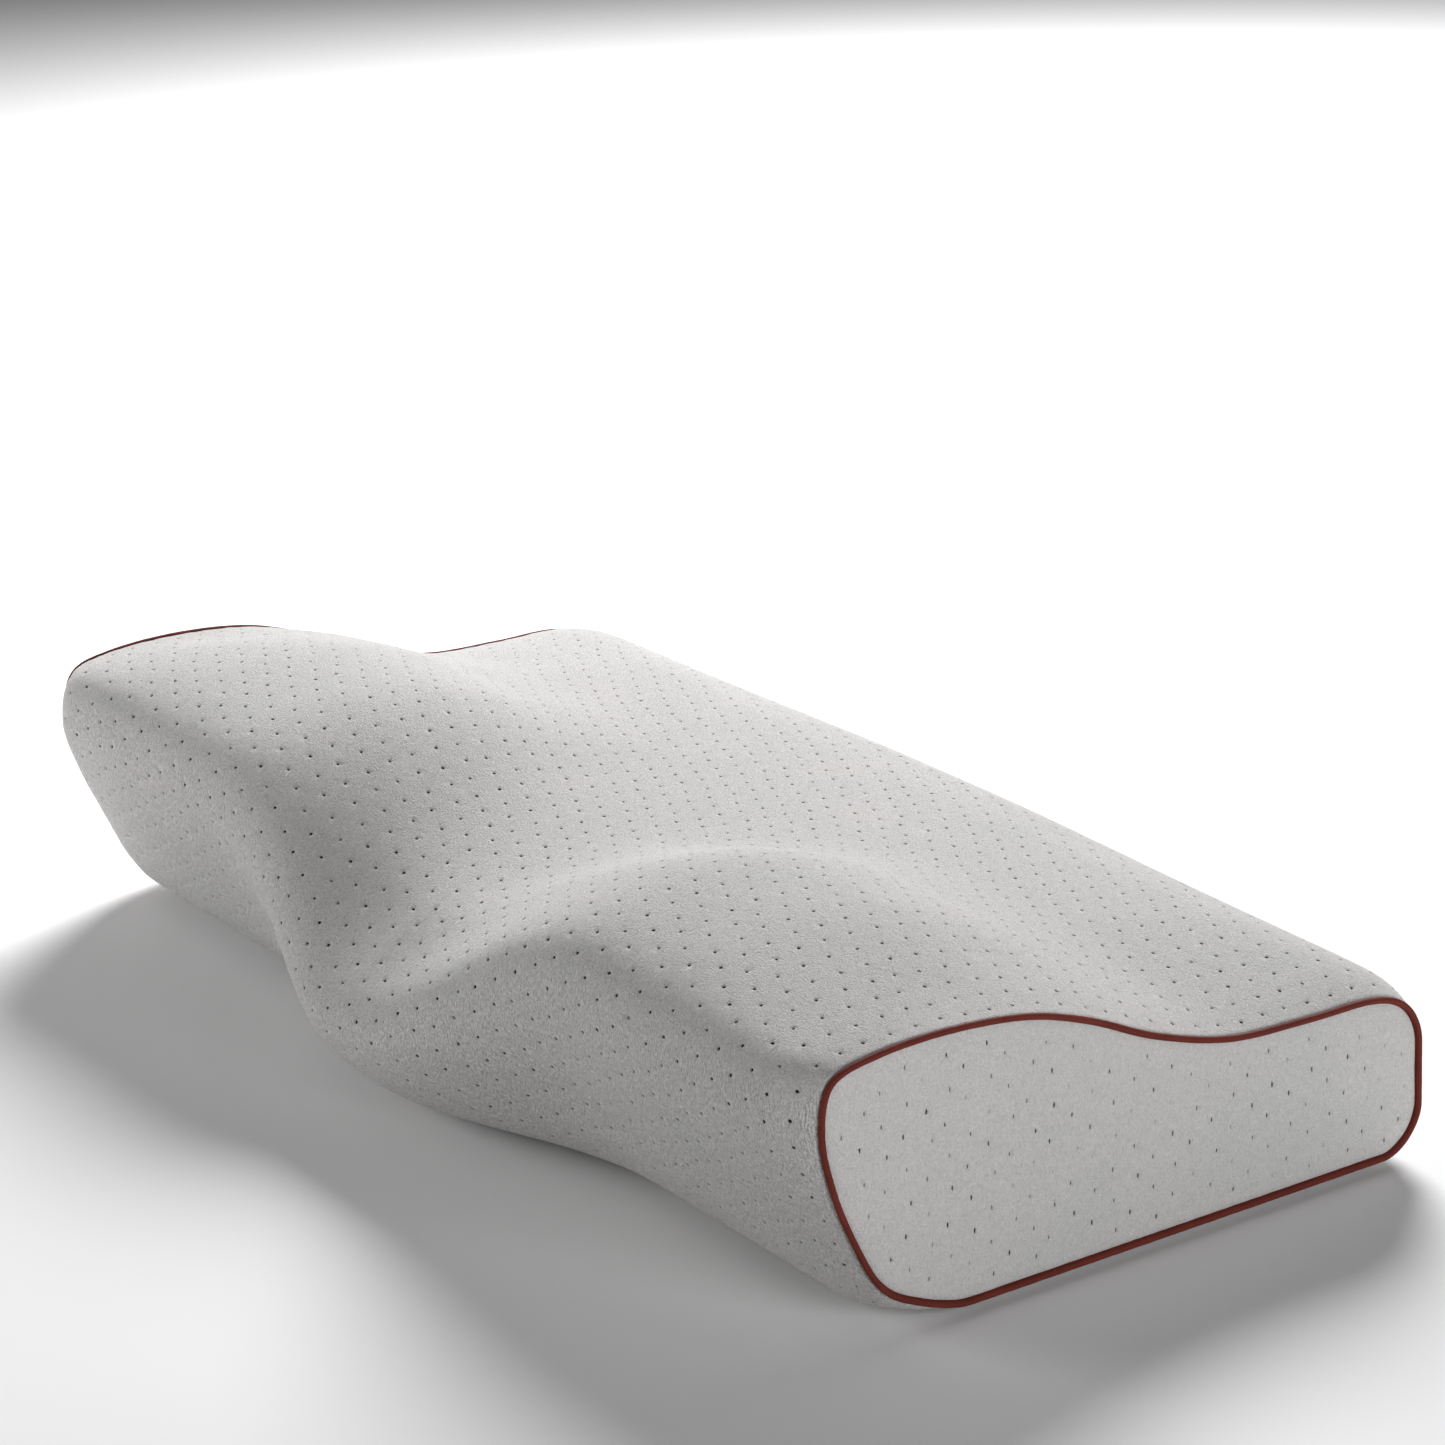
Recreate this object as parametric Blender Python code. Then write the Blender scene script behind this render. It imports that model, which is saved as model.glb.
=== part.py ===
"""Contoured neck pillow: a butterfly-shaped foam core in a knitted liner and a zipped cover.

X runs along the pillow's length, -Y towards the neck, +Z up. The origin is on the floor,
under the middle of the pillow. Everything is in metres.
"""

import math

import bmesh
import bpy
import numpy as np

# Layers, from outside in
COVER = 0.0015          # velour knit
LINER = 0.0008          # liner knit
GAP = 0.0003            # between pieces that lie against each other

# Ends
PIPING_X = 0.2975       # from the middle of the pillow to the middle of each piping
SHOULDER = 0.029        # length over which the padded body shrinks towards the piping
SHOULDER_POWER = 2.5    # how roundly it does so

# Outline of the ends, from the base round the front and over the top to the zip's band:
# depth from the front of the wings, height, how far the padded body stands out from it
# past the shoulder in depth and in height, and how far the wing's crown adds to that
WING_OUTLINE = (
    (0.063, 0.0040, -0.0110, -0.0040, 0.000, 0.000),
    (0.036, 0.0120, -0.0095, -0.0050, 0.000, 0.000),
    (0.021, 0.0230, -0.0055, -0.0040, 0.000, 0.000),
    (0.010, 0.0440, -0.0040, -0.0030, 0.000, 0.000),
    (0.002, 0.0660, -0.0070, -0.0020, 0.000, 0.000),
    (-0.002, 0.0890, -0.0110, 0.0010, 0.001, 0.001),
    (0.003, 0.1080, -0.0080, 0.0030, 0.001, -0.001),
    (0.023, 0.1140, -0.0020, 0.0020, -0.004, 0.003),
    (0.056, 0.1150, 0.0000, 0.0000, 0.000, 0.009),
    (0.091, 0.1110, 0.0000, 0.0015, 0.000, 0.009),
    (0.120, 0.1015, 0.0015, 0.0030, 0.000, 0.008),
    (0.151, 0.0870, 0.0020, 0.0035, 0.000, 0.008),
    (0.186, 0.0765, 0.0005, 0.0030, 0.000, 0.009),
    (0.224, 0.0740, 0.0000, 0.0035, 0.000, 0.006),
    (0.256, 0.0730, 0.0015, 0.0040, 0.000, 0.002),
    (0.273, 0.0660, 0.0045, 0.0035, 0.000, 0.000),
    (0.280, 0.0500, 0.0040, 0.0000, 0.000, 0.000),
)
# The same points in the middle of the pillow: neck slope, head hollow, rear edge
NECK_OUTLINE = (
    (0.0100, 0.0000),
    (-0.0130, 0.0100),
    (-0.0260, 0.0220),
    (-0.0340, 0.0340),
    (-0.0360, 0.0450),
    (-0.0280, 0.0555),
    (-0.0155, 0.0650),
    (-0.0010, 0.0740),
    (0.0160, 0.0820),
    (0.0380, 0.0890),
    (0.0660, 0.0940),
    (0.0970, 0.0950),
    (0.1400, 0.0920),
    (0.1980, 0.0860),
    (0.2530, 0.0795),
    (0.2790, 0.0730),
    (0.2840, 0.0500),
)
# Rear lower corner, from the zip's band to the base, in the same terms as the ends' outline
REAR_CORNER = (
    (0.280, 0.0240, 0.0040, 0.0000, 0.0, 0.0),
    (0.274, 0.0105, 0.0035, -0.0035, 0.0, 0.0),
    (0.261, 0.0040, 0.0030, -0.0040, 0.0, 0.0),
)
SPAN_STEPS = (2, 2, 1, 1, 1, 2, 2, 1, 1, 1, 1, 1, 1, 1, 2, 2)   # facets per span of the outline
CORNER_STEPS = (2, 2)
FRONT_POINTS = 8        # points of the outline that form the front
TOP_POINTS = 14         # points up to the end of the hollow

# Distances from the middle at which the neck shape starts to fade into a wing, and ends
FRONT_FADE = (0.006, 0.156)
HOLLOW_FADE = (0.002, 0.150)
REAR_FADE = (0.018, 0.282)
FADE_POWER = 1.3        # more than 1 makes the hollow narrower than the two wings
CROWN_REACH = 0.105     # length over which the wing's crown rises from the piping

MIDDLE_Y = 0.1260       # depth of the origin, halfway from the front to the zip's slider
REAR_Y = NECK_OUTLINE[-1][0] - MIDDLE_Y

# Seam under the front edge
SEAM_SETBACK = 0.012
SEAM_GAP = 0.0004

# Piping
TAPE_RADIUS = 0.0018
TAPE_THICKNESS = 0.0005
CORD_RADIUS = 0.0010
PIPING_INSET = 0.0008
TAPE_OPENING = math.radians(60)
TAPE_SIDES = 7
CORD_SIDES = 8

# Where the layers end, and the lengthwise stations of one half
PANEL_END = PIPING_X - TAPE_RADIUS - GAP
LINER_END = PANEL_END - LINER - 2 * GAP
STATIONS = (
    0.0,
    0.036,
    0.070,
    0.102,
    0.134,
    0.166,
    0.202,
    0.2395,
    0.2425,
    0.266,
    0.283,
    0.290,
    PANEL_END,
)

# Zip, in the flat band up the rear
ZIP_Z = 0.037
SLOT_HALF = 0.0050      # half the opening between the cover's panels
SLOT_END = 0.241
TAPE_END = 0.240
WOVEN = 0.0006          # thickness of the zip's tape
WOVEN_FAR = 0.0115      # outer edge of each tape from the zip's middle
PARTING = 0.0006        # half the gap between the coil's halves, where the slider's post runs
COIL_WIDTH = 0.0026
COIL_DEPTH = 0.0020
CHAIN_END = 0.2350
STOP_LENGTH = 0.0032
SLIDER_LENGTH = 0.0110
SLIDER_HALF = 0.0044
PLATE = 0.0010
LIP = 0.0009
LIP_REACH = 0.0016
POST_THICKNESS = 0.0006
POST_LENGTH = 0.0030
ARCH_LENGTH = 0.0070
ARCH_WIDTH = 0.0022
ARCH_LEG = 0.0012
ARCH_OPENING = 0.0019
ARCH_TOP = 0.0010
PULL_THICKNESS = 0.0012
PULL_LENGTH = 0.0220
PULL_WIDTH = 0.0064
PULL_EYE_LENGTH = 0.0048
PULL_EYE_WIDTH = 0.0032
PULL_ROUND = 0.0020
PULL_EDGE = 0.0002
ZIP_ROOM = 0.0027       # how much further in the liner and the foam lie behind the zip

PAST = 0.0010           # how far a cutter reaches beyond what it cuts
SHARP_ANGLE = math.radians(40)

WOVEN_FACE = REAR_Y - COVER - GAP
COIL_BACK = WOVEN_FACE + GAP
COIL_FACE = COIL_BACK + COIL_DEPTH
OUTER_PLATE = COIL_FACE + GAP
INNER_PLATE = WOVEN_FACE - WOVEN - GAP - PLATE
PULL_AXIS_Y = OUTER_PLATE + PLATE + GAP + PULL_THICKNESS / 2
SLIDER_REST_X = -CHAIN_END + SLIDER_LENGTH / 2 + GAP


def clear_scene():
    for thing in list(bpy.data.objects):
        bpy.data.objects.remove(thing, do_unlink=True)


def make_material(name, colour, roughness, metallic=0.0):
    material = bpy.data.materials.new(name)
    material.use_nodes = True
    shader = material.node_tree.nodes["Principled BSDF"]
    shader.inputs["Base Color"].default_value = (*colour, 1.0)
    shader.inputs["Roughness"].default_value = roughness
    shader.inputs["Metallic"].default_value = metallic
    return material


def smooth_step(value):
    value = min(max(value, 0.0), 1.0)
    return value * value * (3 - 2 * value)


def spline(points, first_tangent, last_tangent, steps):
    """A curve through points, with steps[i] facets between points i and i + 1."""
    points = np.asarray(points, float)
    tangents = np.empty_like(points)
    tangents[1:-1] = (points[2:] - points[:-2]) / 2
    tangents[0] = np.asarray(first_tangent) * np.linalg.norm(points[1] - points[0])
    tangents[-1] = np.asarray(last_tangent) * np.linalg.norm(points[-1] - points[-2])
    curve = []
    for i, count in enumerate(steps):
        for step in range(count):
            t = step / count
            curve.append(
                (2 * t**3 - 3 * t**2 + 1) * points[i]
                + (t**3 - 2 * t**2 + t) * tangents[i]
                + (3 * t**2 - 2 * t**3) * points[i + 1]
                + (t**3 - t**2) * tangents[i + 1]
            )
    curve.append(points[-1])
    return curve


def fullness(x):
    """The share of its full padding that the body has at x: 1 in the middle, 0 at the piping."""
    past = max(0.0, abs(x) - (PIPING_X - SHOULDER)) / SHOULDER
    return 1 - past**SHOULDER_POWER


def fade(x, limits):
    return (1 - smooth_step((abs(x) - limits[0]) / (limits[1] - limits[0]))) ** FADE_POWER


def padded_outline(outline, x):
    outline = np.array(outline)
    crown = smooth_step((PIPING_X - abs(x)) / CROWN_REACH)
    return outline[:, :2] + outline[:, 2:4] * fullness(x) + outline[:, 4:] * crown


def section(x):
    """The closed outline at x: base front, front, top, zip band, rear corner and base, as (y, z)."""
    wing = padded_outline(WING_OUTLINE, x)
    neck = np.array(NECK_OUTLINE)
    share = np.array(
        [fade(x, FRONT_FADE)] * FRONT_POINTS
        + [fade(x, HOLLOW_FADE)] * (TOP_POINTS - FRONT_POINTS)
        + [fade(x, REAR_FADE)] * (len(neck) - TOP_POINTS)
    )[:, None]
    over = wing + (neck - wing) * share
    corner = padded_outline(REAR_CORNER, x)
    band_y = corner[0, 0]
    over[-1] = wing[-1]
    half = SLOT_HALF if abs(x) < SLOT_END else SEAM_GAP / 2
    ring = spline(over, (-1, 0), (0, -1), SPAN_STEPS)
    ring += [(band_y, ZIP_Z + half), (band_y, ZIP_Z - half)]
    ring += spline(corner, (0, -1), (-1, 0), CORNER_STEPS)
    rear, front = corner[-1, 0], over[0, 0] + SEAM_SETBACK
    base = over[0, 1]
    ring += [(rear + (front - rear) * share_along, base) for share_along in (1 / 3, 2 / 3)]
    ring += [(front + SEAM_GAP, base), (front, base)]
    ring = np.array(ring)
    ring[:, 0] -= MIDDLE_Y
    ring[:, 1] = np.maximum(ring[:, 1], 0.0)
    return ring


# Places in a section's list of points
BAND_TOP = sum(SPAN_STEPS)
SLOT_TOP = BAND_TOP + 1
SLOT_BASE = BAND_TOP + 2
BAND_BASE = BAND_TOP + 3
SEAM_REAR = BAND_BASE + sum(CORNER_STEPS) + 3
SEAM_FRONT = SEAM_REAR + 1
RING_POINTS = SEAM_FRONT + 1
TOP_PANEL = [SEAM_FRONT, *range(SLOT_TOP + 1)]
BOTTOM_PANEL = list(range(SLOT_BASE, SEAM_REAR + 1))
INNER_LAYERS = [i for i in range(RING_POINTS) if i not in (SLOT_TOP, SLOT_BASE, SEAM_FRONT)]


def inset(ring, distances):
    """A closed outline moved inwards by a distance for each point, with mitred corners."""
    forward = np.roll(ring, -1, axis=0) - ring
    normals = np.stack([-forward[:, 1], forward[:, 0]], axis=1)
    normals /= np.linalg.norm(normals, axis=1, keepdims=True)
    before = np.roll(normals, 1, axis=0)
    middle = normals + before
    middle /= np.linalg.norm(middle, axis=1, keepdims=True)
    mitre = (middle * normals).sum(axis=1, keepdims=True)
    return ring - middle / mitre * np.reshape(distances, (-1, 1))


def all_stations():
    return [-x for x in reversed(STATIONS[1:])] + list(STATIONS)


def layer(depth, end, with_zip_room):
    """Rings of (x, y, z), depth below the cover's face, between -end and end."""
    room = np.zeros(RING_POINTS)
    if with_zip_room:
        room[BAND_TOP : BAND_BASE + 1] = ZIP_ROOM
    stations = all_stations()
    sections = np.array([section(x) for x in stations])
    rings = []
    for x in stations:
        at = min(max(x, -end), end)
        ring = np.empty((RING_POINTS, 2))
        for point in range(RING_POINTS):
            for part in range(2):
                ring[point, part] = np.interp(at, stations, sections[:, point, part])
        ring = inset(ring, depth + room)
        rings.append(np.column_stack([np.full(len(ring), at), ring]))
    return np.array(rings)


def add_object(name, mesh_data, material):
    mesh = bpy.data.meshes.new(name)
    bmesh.ops.recalc_face_normals(mesh_data, faces=mesh_data.faces)
    mesh_data.to_mesh(mesh)
    mesh_data.free()
    mesh.materials.append(material)
    mesh.shade_smooth()
    mesh.set_sharp_from_angle(angle=SHARP_ANGLE)
    thing = bpy.data.objects.new(name, mesh)
    bpy.context.scene.collection.objects.link(thing)
    return thing


def grid(mesh_data, rows):
    return [[mesh_data.verts.new(point) for point in row] for row in rows]


def strip_faces(mesh_data, rows, closed):
    for first, second in zip(rows, rows[1:]):
        count = len(first)
        for i in range(count if closed else count - 1):
            j = (i + 1) % count
            mesh_data.faces.new((first[i], first[j], second[j], second[i]))


def solid_loft(name, rings, material):
    """A closed body through rings, with a flat cap at each end."""
    mesh_data = bmesh.new()
    rows = grid(mesh_data, rings)
    strip_faces(mesh_data, rows, closed=True)
    mesh_data.faces.new(rows[0])
    mesh_data.faces.new(rows[-1])
    return add_object(name, mesh_data, material)


def shell_loft(name, outer, inner, closed, material):
    """A thin shell between two sets of rings, open at both ends, with rims between them."""
    mesh_data = bmesh.new()
    outer_rows = grid(mesh_data, outer)
    inner_rows = grid(mesh_data, inner)
    strip_faces(mesh_data, outer_rows, closed)
    strip_faces(mesh_data, inner_rows, closed)
    for end in (0, -1):
        strip_faces(mesh_data, [outer_rows[end], inner_rows[end]], closed)
    if not closed:
        for edge in (0, -1):
            rim = [[row[edge] for row in rows] for rows in (outer_rows, inner_rows)]
            strip_faces(mesh_data, rim, closed=False)
    return add_object(name, mesh_data, material)


def plate(name, outline, inner_x, outer_x, material):
    """A flat plate with the given (y, z) outline."""
    faces = [[(x, y, z) for y, z in outline] for x in (inner_x, outer_x)]
    return solid_loft(name, faces, material)


def box(name, low, high, material):
    mesh_data = bmesh.new()
    bmesh.ops.create_cube(mesh_data, size=1.0)
    for vertex in mesh_data.verts:
        for axis in range(3):
            middle = (low[axis] + high[axis]) / 2
            vertex.co[axis] = middle + vertex.co[axis] * (high[axis] - low[axis])
    return add_object(name, mesh_data, material)


def round_edges(thing, width):
    bevel = thing.modifiers.new("round", "BEVEL")
    bevel.width = width
    bevel.segments = 2
    return thing


def piping_centre():
    """The piping's centre line in its plane."""
    return inset(section(PIPING_X), np.full(RING_POINTS, PIPING_INSET))[INNER_LAYERS]


def sweep(name, profile, side, closed_profile, material):
    """A (proud, along X) profile carried round the piping's centre line."""
    centre = piping_centre()
    edge = inset(centre, np.full(len(centre), -1.0)) - centre
    rings = []
    for (y, z), (normal_y, normal_z) in zip(centre, edge):
        rings.append([(side * (PIPING_X + v), y + u * normal_y, z + u * normal_z) for u, v in profile])
    mesh_data = bmesh.new()
    rows = grid(mesh_data, rings)
    strip_faces(mesh_data, rows + rows[:1], closed=closed_profile)
    return add_object(name, mesh_data, material)


def circle_points(radius, start, end, count):
    angles = np.linspace(start, end, count)
    return [(radius * math.cos(angle), radius * math.sin(angle)) for angle in angles]


def tape_profile():
    """A tube's wall, open on the side that faces into the seam."""
    start = -math.pi + TAPE_OPENING / 2
    end = math.pi - TAPE_OPENING / 2
    outer = circle_points(TAPE_RADIUS, start, end, TAPE_SIDES + 1)
    inner = circle_points(TAPE_RADIUS - TAPE_THICKNESS, end, start, TAPE_SIDES + 1)
    return outer + inner


def cord_profile():
    return circle_points(CORD_RADIUS, 0, 2 * math.pi, CORD_SIDES + 1)[:-1]


def make_core(foam):
    depth = COVER + LINER + 2 * GAP
    rings = layer(depth, LINER_END, True)[:, INNER_LAYERS]
    solid_loft("foam_core", rings, foam)


def make_liner(knit):
    outer = layer(COVER + GAP, LINER_END, True)[:, INNER_LAYERS]
    inner = layer(COVER + GAP + LINER, LINER_END, True)[:, INNER_LAYERS]
    shell_loft("liner_body", outer, inner, True, knit)
    cap_inner, cap_outer = LINER_END + GAP, LINER_END + GAP + LINER
    cap = layer(COVER + GAP, cap_outer, True)[-1][INNER_LAYERS, 1:]
    plate("liner_end_left", cap, -cap_inner, -cap_outer, knit)
    plate("liner_end_right", cap, cap_inner, cap_outer, knit)


def make_cover(velour):
    outer = layer(0.0, PANEL_END, False)
    inner = layer(COVER, PANEL_END, False)
    for name, points in (("cover_top_panel", TOP_PANEL), ("cover_bottom_panel", BOTTOM_PANEL)):
        shell_loft(name, outer[:, points], inner[:, points], False, velour)
    centre = piping_centre()
    outline = inset(centre, np.full(len(centre), TAPE_RADIUS + GAP))
    plate("cover_end_panel_left", outline, COVER - PIPING_X, -PIPING_X, velour)
    plate("cover_end_panel_right", outline, PIPING_X - COVER, PIPING_X, velour)


def make_piping(bias_tape, cotton):
    for side, label in ((-1, "left"), (1, "right")):
        sweep(f"piping_tape_{label}", tape_profile(), side, True, bias_tape)
        sweep(f"piping_cord_{label}", cord_profile(), side, True, cotton)


def zip_span(up, near, far):
    """The heights between two distances from the zip's middle, above it or below it."""
    heights = (ZIP_Z + up * near, ZIP_Z + up * far)
    return min(heights), max(heights)


def make_zip_chain(woven, nylon, metal):
    for up, label in ((1, "upper"), (-1, "lower")):
        low, high = zip_span(up, PARTING, WOVEN_FAR)
        box(
            f"zip_tape_{label}",
            (-TAPE_END, WOVEN_FACE - WOVEN, low),
            (TAPE_END, WOVEN_FACE, high),
            woven,
        )
        low, high = zip_span(up, PARTING, PARTING + COIL_WIDTH)
        box(f"zip_coil_{label}", (-CHAIN_END, COIL_BACK, low), (CHAIN_END, COIL_FACE, high), nylon)
        start = CHAIN_END + GAP
        box(
            f"zip_top_stop_{label}",
            (-start - STOP_LENGTH, COIL_BACK, low),
            (-start, COIL_FACE + GAP, high),
            metal,
        )
    reach = PARTING + COIL_WIDTH
    box(
        "zip_bottom_stop",
        (CHAIN_END + GAP, COIL_BACK, ZIP_Z - reach),
        (CHAIN_END + GAP + STOP_LENGTH, COIL_FACE + GAP, ZIP_Z + reach),
        metal,
    )


def cutter(name, x_span, y_span, z_span):
    low, high = zip(x_span, y_span, z_span)
    tool = box(f"cut_{name}", low, high, None)
    tool.hide_render = True
    tool.display_type = "WIRE"
    return tool


def cut(thing, tool):
    boolean = thing.modifiers.new(tool.name, "BOOLEAN")
    boolean.operation = "DIFFERENCE"
    boolean.solver = "EXACT"
    boolean.object = tool


def make_slider(metal):
    """Two plates joined by a post, lips round the coil, and an arch that holds the pull."""
    low_x = SLIDER_REST_X - SLIDER_LENGTH / 2
    high_x = SLIDER_REST_X + SLIDER_LENGTH / 2
    outer_face = OUTER_PLATE + PLATE
    arch_face = outer_face + ARCH_OPENING + ARCH_TOP
    slider = box(
        "zip_slider",
        (low_x, INNER_PLATE, ZIP_Z - SLIDER_HALF),
        (high_x, arch_face, ZIP_Z + SLIDER_HALF),
        metal,
    )
    whole_x = (low_x - PAST, high_x + PAST)
    whole_z = (ZIP_Z - SLIDER_HALF - PAST, ZIP_Z + SLIDER_HALF + PAST)
    channel_y = (INNER_PLATE + PLATE, OUTER_PLATE)
    tape_y = (INNER_PLATE + PLATE, OUTER_PLATE - LIP_REACH)
    arch_y = (outer_face, arch_face + PAST)
    lip_z = SLIDER_HALF - LIP
    tools = []
    for up, label in ((1, "upper"), (-1, "lower")):
        channel_z = zip_span(up, POST_THICKNESS / 2, lip_z)
        tape_z = zip_span(up, lip_z - PAST, SLIDER_HALF + PAST)
        beside_z = zip_span(up, ARCH_WIDTH / 2, SLIDER_HALF + PAST)
        tools.append(cutter(f"channel_{label}", whole_x, channel_y, channel_z))
        tools.append(cutter(f"tape_way_{label}", whole_x, tape_y, tape_z))
        tools.append(cutter(f"beside_arch_{label}", whole_x, arch_y, beside_z))
    behind_x = (low_x + POST_LENGTH, whole_x[1])
    web_z = (ZIP_Z - POST_THICKNESS, ZIP_Z + POST_THICKNESS)
    tools.append(cutter("behind_post", behind_x, channel_y, web_z))
    arch_x = (SLIDER_REST_X - ARCH_LENGTH / 2, SLIDER_REST_X + ARCH_LENGTH / 2)
    under_x = (arch_x[0] + ARCH_LEG, arch_x[1] - ARCH_LEG)
    under_y = (outer_face, outer_face + ARCH_OPENING)
    tools.append(cutter("before_arch", (whole_x[0], arch_x[0]), arch_y, whole_z))
    tools.append(cutter("after_arch", (arch_x[1], whole_x[1]), arch_y, whole_z))
    tools.append(cutter("under_arch", under_x, under_y, whole_z))
    for tool in tools:
        cut(slider, tool)
    return slider


def make_pull(metal):
    """A tab with an eye round the slider's arch. Its own origin is on its hinge's axis."""
    half = PULL_THICKNESS / 2
    pull = box(
        "zip_pull",
        (-half, -half, -PULL_WIDTH / 2),
        (PULL_LENGTH - half, half, PULL_WIDTH / 2),
        metal,
    )
    eye = cutter(
        "eye",
        (half, half + PULL_EYE_LENGTH),
        (-half - PAST, half + PAST),
        (-PULL_EYE_WIDTH / 2, PULL_EYE_WIDTH / 2),
    )
    for thing in (pull, eye):
        thing.location = (SLIDER_REST_X, PULL_AXIS_Y, ZIP_Z)
    cut(pull, eye)
    mesh_data = bmesh.new()
    mesh_data.from_mesh(pull.data)
    tip = [
        edge
        for edge in mesh_data.edges
        if all(vertex.co.x > PULL_LENGTH / 2 for vertex in edge.verts)
        and abs(edge.verts[0].co.y - edge.verts[1].co.y) > half
    ]
    bmesh.ops.bevel(mesh_data, geom=tip, offset=PULL_ROUND, segments=3, profile=0.5, affect="EDGES")
    mesh_data.to_mesh(pull.data)
    mesh_data.free()
    return round_edges(pull, PULL_EDGE)


def main():
    clear_scene()
    velour = make_material("velour", (0.58, 0.57, 0.56), 0.95)
    make_core(make_material("memory_foam", (0.86, 0.84, 0.76), 0.9))
    make_liner(make_material("liner_knit", (0.82, 0.82, 0.80), 0.9))
    make_cover(velour)
    make_piping(
        make_material("bias_tape", (0.16, 0.035, 0.025), 0.7),
        make_material("cotton_cord", (0.75, 0.73, 0.68), 0.9),
    )
    metal = make_material("zip_metal", (0.62, 0.62, 0.63), 0.35, 1.0)
    make_zip_chain(
        make_material("zip_tape", (0.50, 0.49, 0.48), 0.9),
        make_material("zip_nylon", (0.55, 0.54, 0.53), 0.45),
        metal,
    )
    make_slider(metal)
    make_pull(metal)


main()
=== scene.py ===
"""Looks for the contoured neck pillow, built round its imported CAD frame.

X runs along the pillow, -Y towards the neck, +Z up, in metres, as in the frame.
"""

import math

import bmesh
import bpy
import numpy as np
from mathutils import Matrix, Vector
from mathutils.geometry import delaunay_2d_cdt
from mathutils.kdtree import KDTree


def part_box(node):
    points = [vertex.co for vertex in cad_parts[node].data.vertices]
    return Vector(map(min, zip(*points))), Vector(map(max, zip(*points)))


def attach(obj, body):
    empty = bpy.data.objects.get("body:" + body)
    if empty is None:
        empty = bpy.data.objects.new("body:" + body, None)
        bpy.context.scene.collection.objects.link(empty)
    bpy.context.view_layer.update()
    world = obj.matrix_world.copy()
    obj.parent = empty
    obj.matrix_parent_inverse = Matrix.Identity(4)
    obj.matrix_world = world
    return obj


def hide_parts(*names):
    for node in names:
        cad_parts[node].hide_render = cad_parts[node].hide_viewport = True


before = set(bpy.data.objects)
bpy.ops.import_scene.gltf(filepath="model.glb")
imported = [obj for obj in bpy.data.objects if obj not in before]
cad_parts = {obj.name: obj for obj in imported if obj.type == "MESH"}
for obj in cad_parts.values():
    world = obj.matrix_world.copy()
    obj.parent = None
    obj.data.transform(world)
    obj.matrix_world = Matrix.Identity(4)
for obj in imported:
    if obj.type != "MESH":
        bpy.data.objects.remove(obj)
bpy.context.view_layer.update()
random = np.random.default_rng(20)

# ---- the CAD's outline
COVER = 0.0015          # room for the cover and the liner, and the gap between pieces
LINER = 0.0008
GAP = 0.0003
PIPING_X = 0.2975
PIPING_INSET = 0.0008
SHOULDER = 0.029        # how far from its ends the pillow starts to round off
SHOULDER_POWER = 2.5
# Round a wing from the base seam over the front and the top, in millimetres: (y, z) at the
# piping, then how much the shoulder adds to y and z, then how much the crown adds
WING_OUTLINE = np.array([
    (63, 4, -11, -4, 0, 0),
    (36, 12, -9.5, -5, 0, 0),
    (21, 23, -5.5, -4, 0, 0),
    (10, 44, -4, -3, 0, 0),
    (2, 66, -7, -2, 0, 0),
    (-2, 89, -11, 1, 1, 1),
    (3, 108, -8, 3, 1, -1),
    (23, 114, -2, 2, -4, 3),
    (56, 115, 0, 0, 0, 9),
    (91, 111, 0, 1.5, 0, 9),
    (120, 101.5, 1.5, 3, 0, 8),
    (151, 87, 2, 3.5, 0, 8),
    (186, 76.5, 0.5, 3, 0, 9),
    (224, 74, 0, 3.5, 0, 6),
    (256, 73, 1.5, 4, 0, 2),
    (273, 66, 4.5, 3.5, 0, 0),
    (280, 50, 4, 0, 0, 0),
]) / 1000
# The same points as (y, z) in the middle, where the neck lies
NECK_OUTLINE = np.array([
    (10, 0),
    (-13, 10),
    (-26, 22),
    (-34, 34),
    (-36, 45),
    (-28, 55.5),
    (-15.5, 65),
    (-1, 74),
    (16, 82),
    (38, 89),
    (66, 94),
    (97, 95),
    (140, 92),
    (198, 86),
    (253, 79.5),
    (279, 73),
    (284, 50),
]) / 1000
# The bottom panel's turn up the rear, with columns as for a wing
REAR_CORNER = np.array([
    (280, 24, 4, 0, 0, 0),
    (274, 10.5, 3.5, -3.5, 0, 0),
    (261, 4, 3, -4, 0, 0),
]) / 1000
FRONT_POINTS = 8        # of the outline's points, how many are on the front
TOP_POINTS = 14         # and how many come before the rear
FRONT_FADE = (0.006, 0.156)     # where along X the middle's shape starts and ends to give way
HOLLOW_FADE = (0.002, 0.150)
REAR_FADE = (0.018, 0.282)
FADE_POWER = 1.3
CROWN_REACH = 0.105
MIDDLE_Y = 0.1260       # the outline's y at the frame's origin
SEAM_SETBACK = 0.012    # from the foot of the front to the base seam
SPAN_FACETS = 10        # between two of the outline's points

# The cover's opening over the zip
ZIP_Z = (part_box("zip_coil_upper")[0].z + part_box("zip_coil_lower")[1].z) / 2
SLOT_HALF = 0.0050
SLOT_END = 0.2385
SLOT_ROUND = 0.0040
SEAM_HALF = 0.0002      # half the gap between two sewn edges

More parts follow.
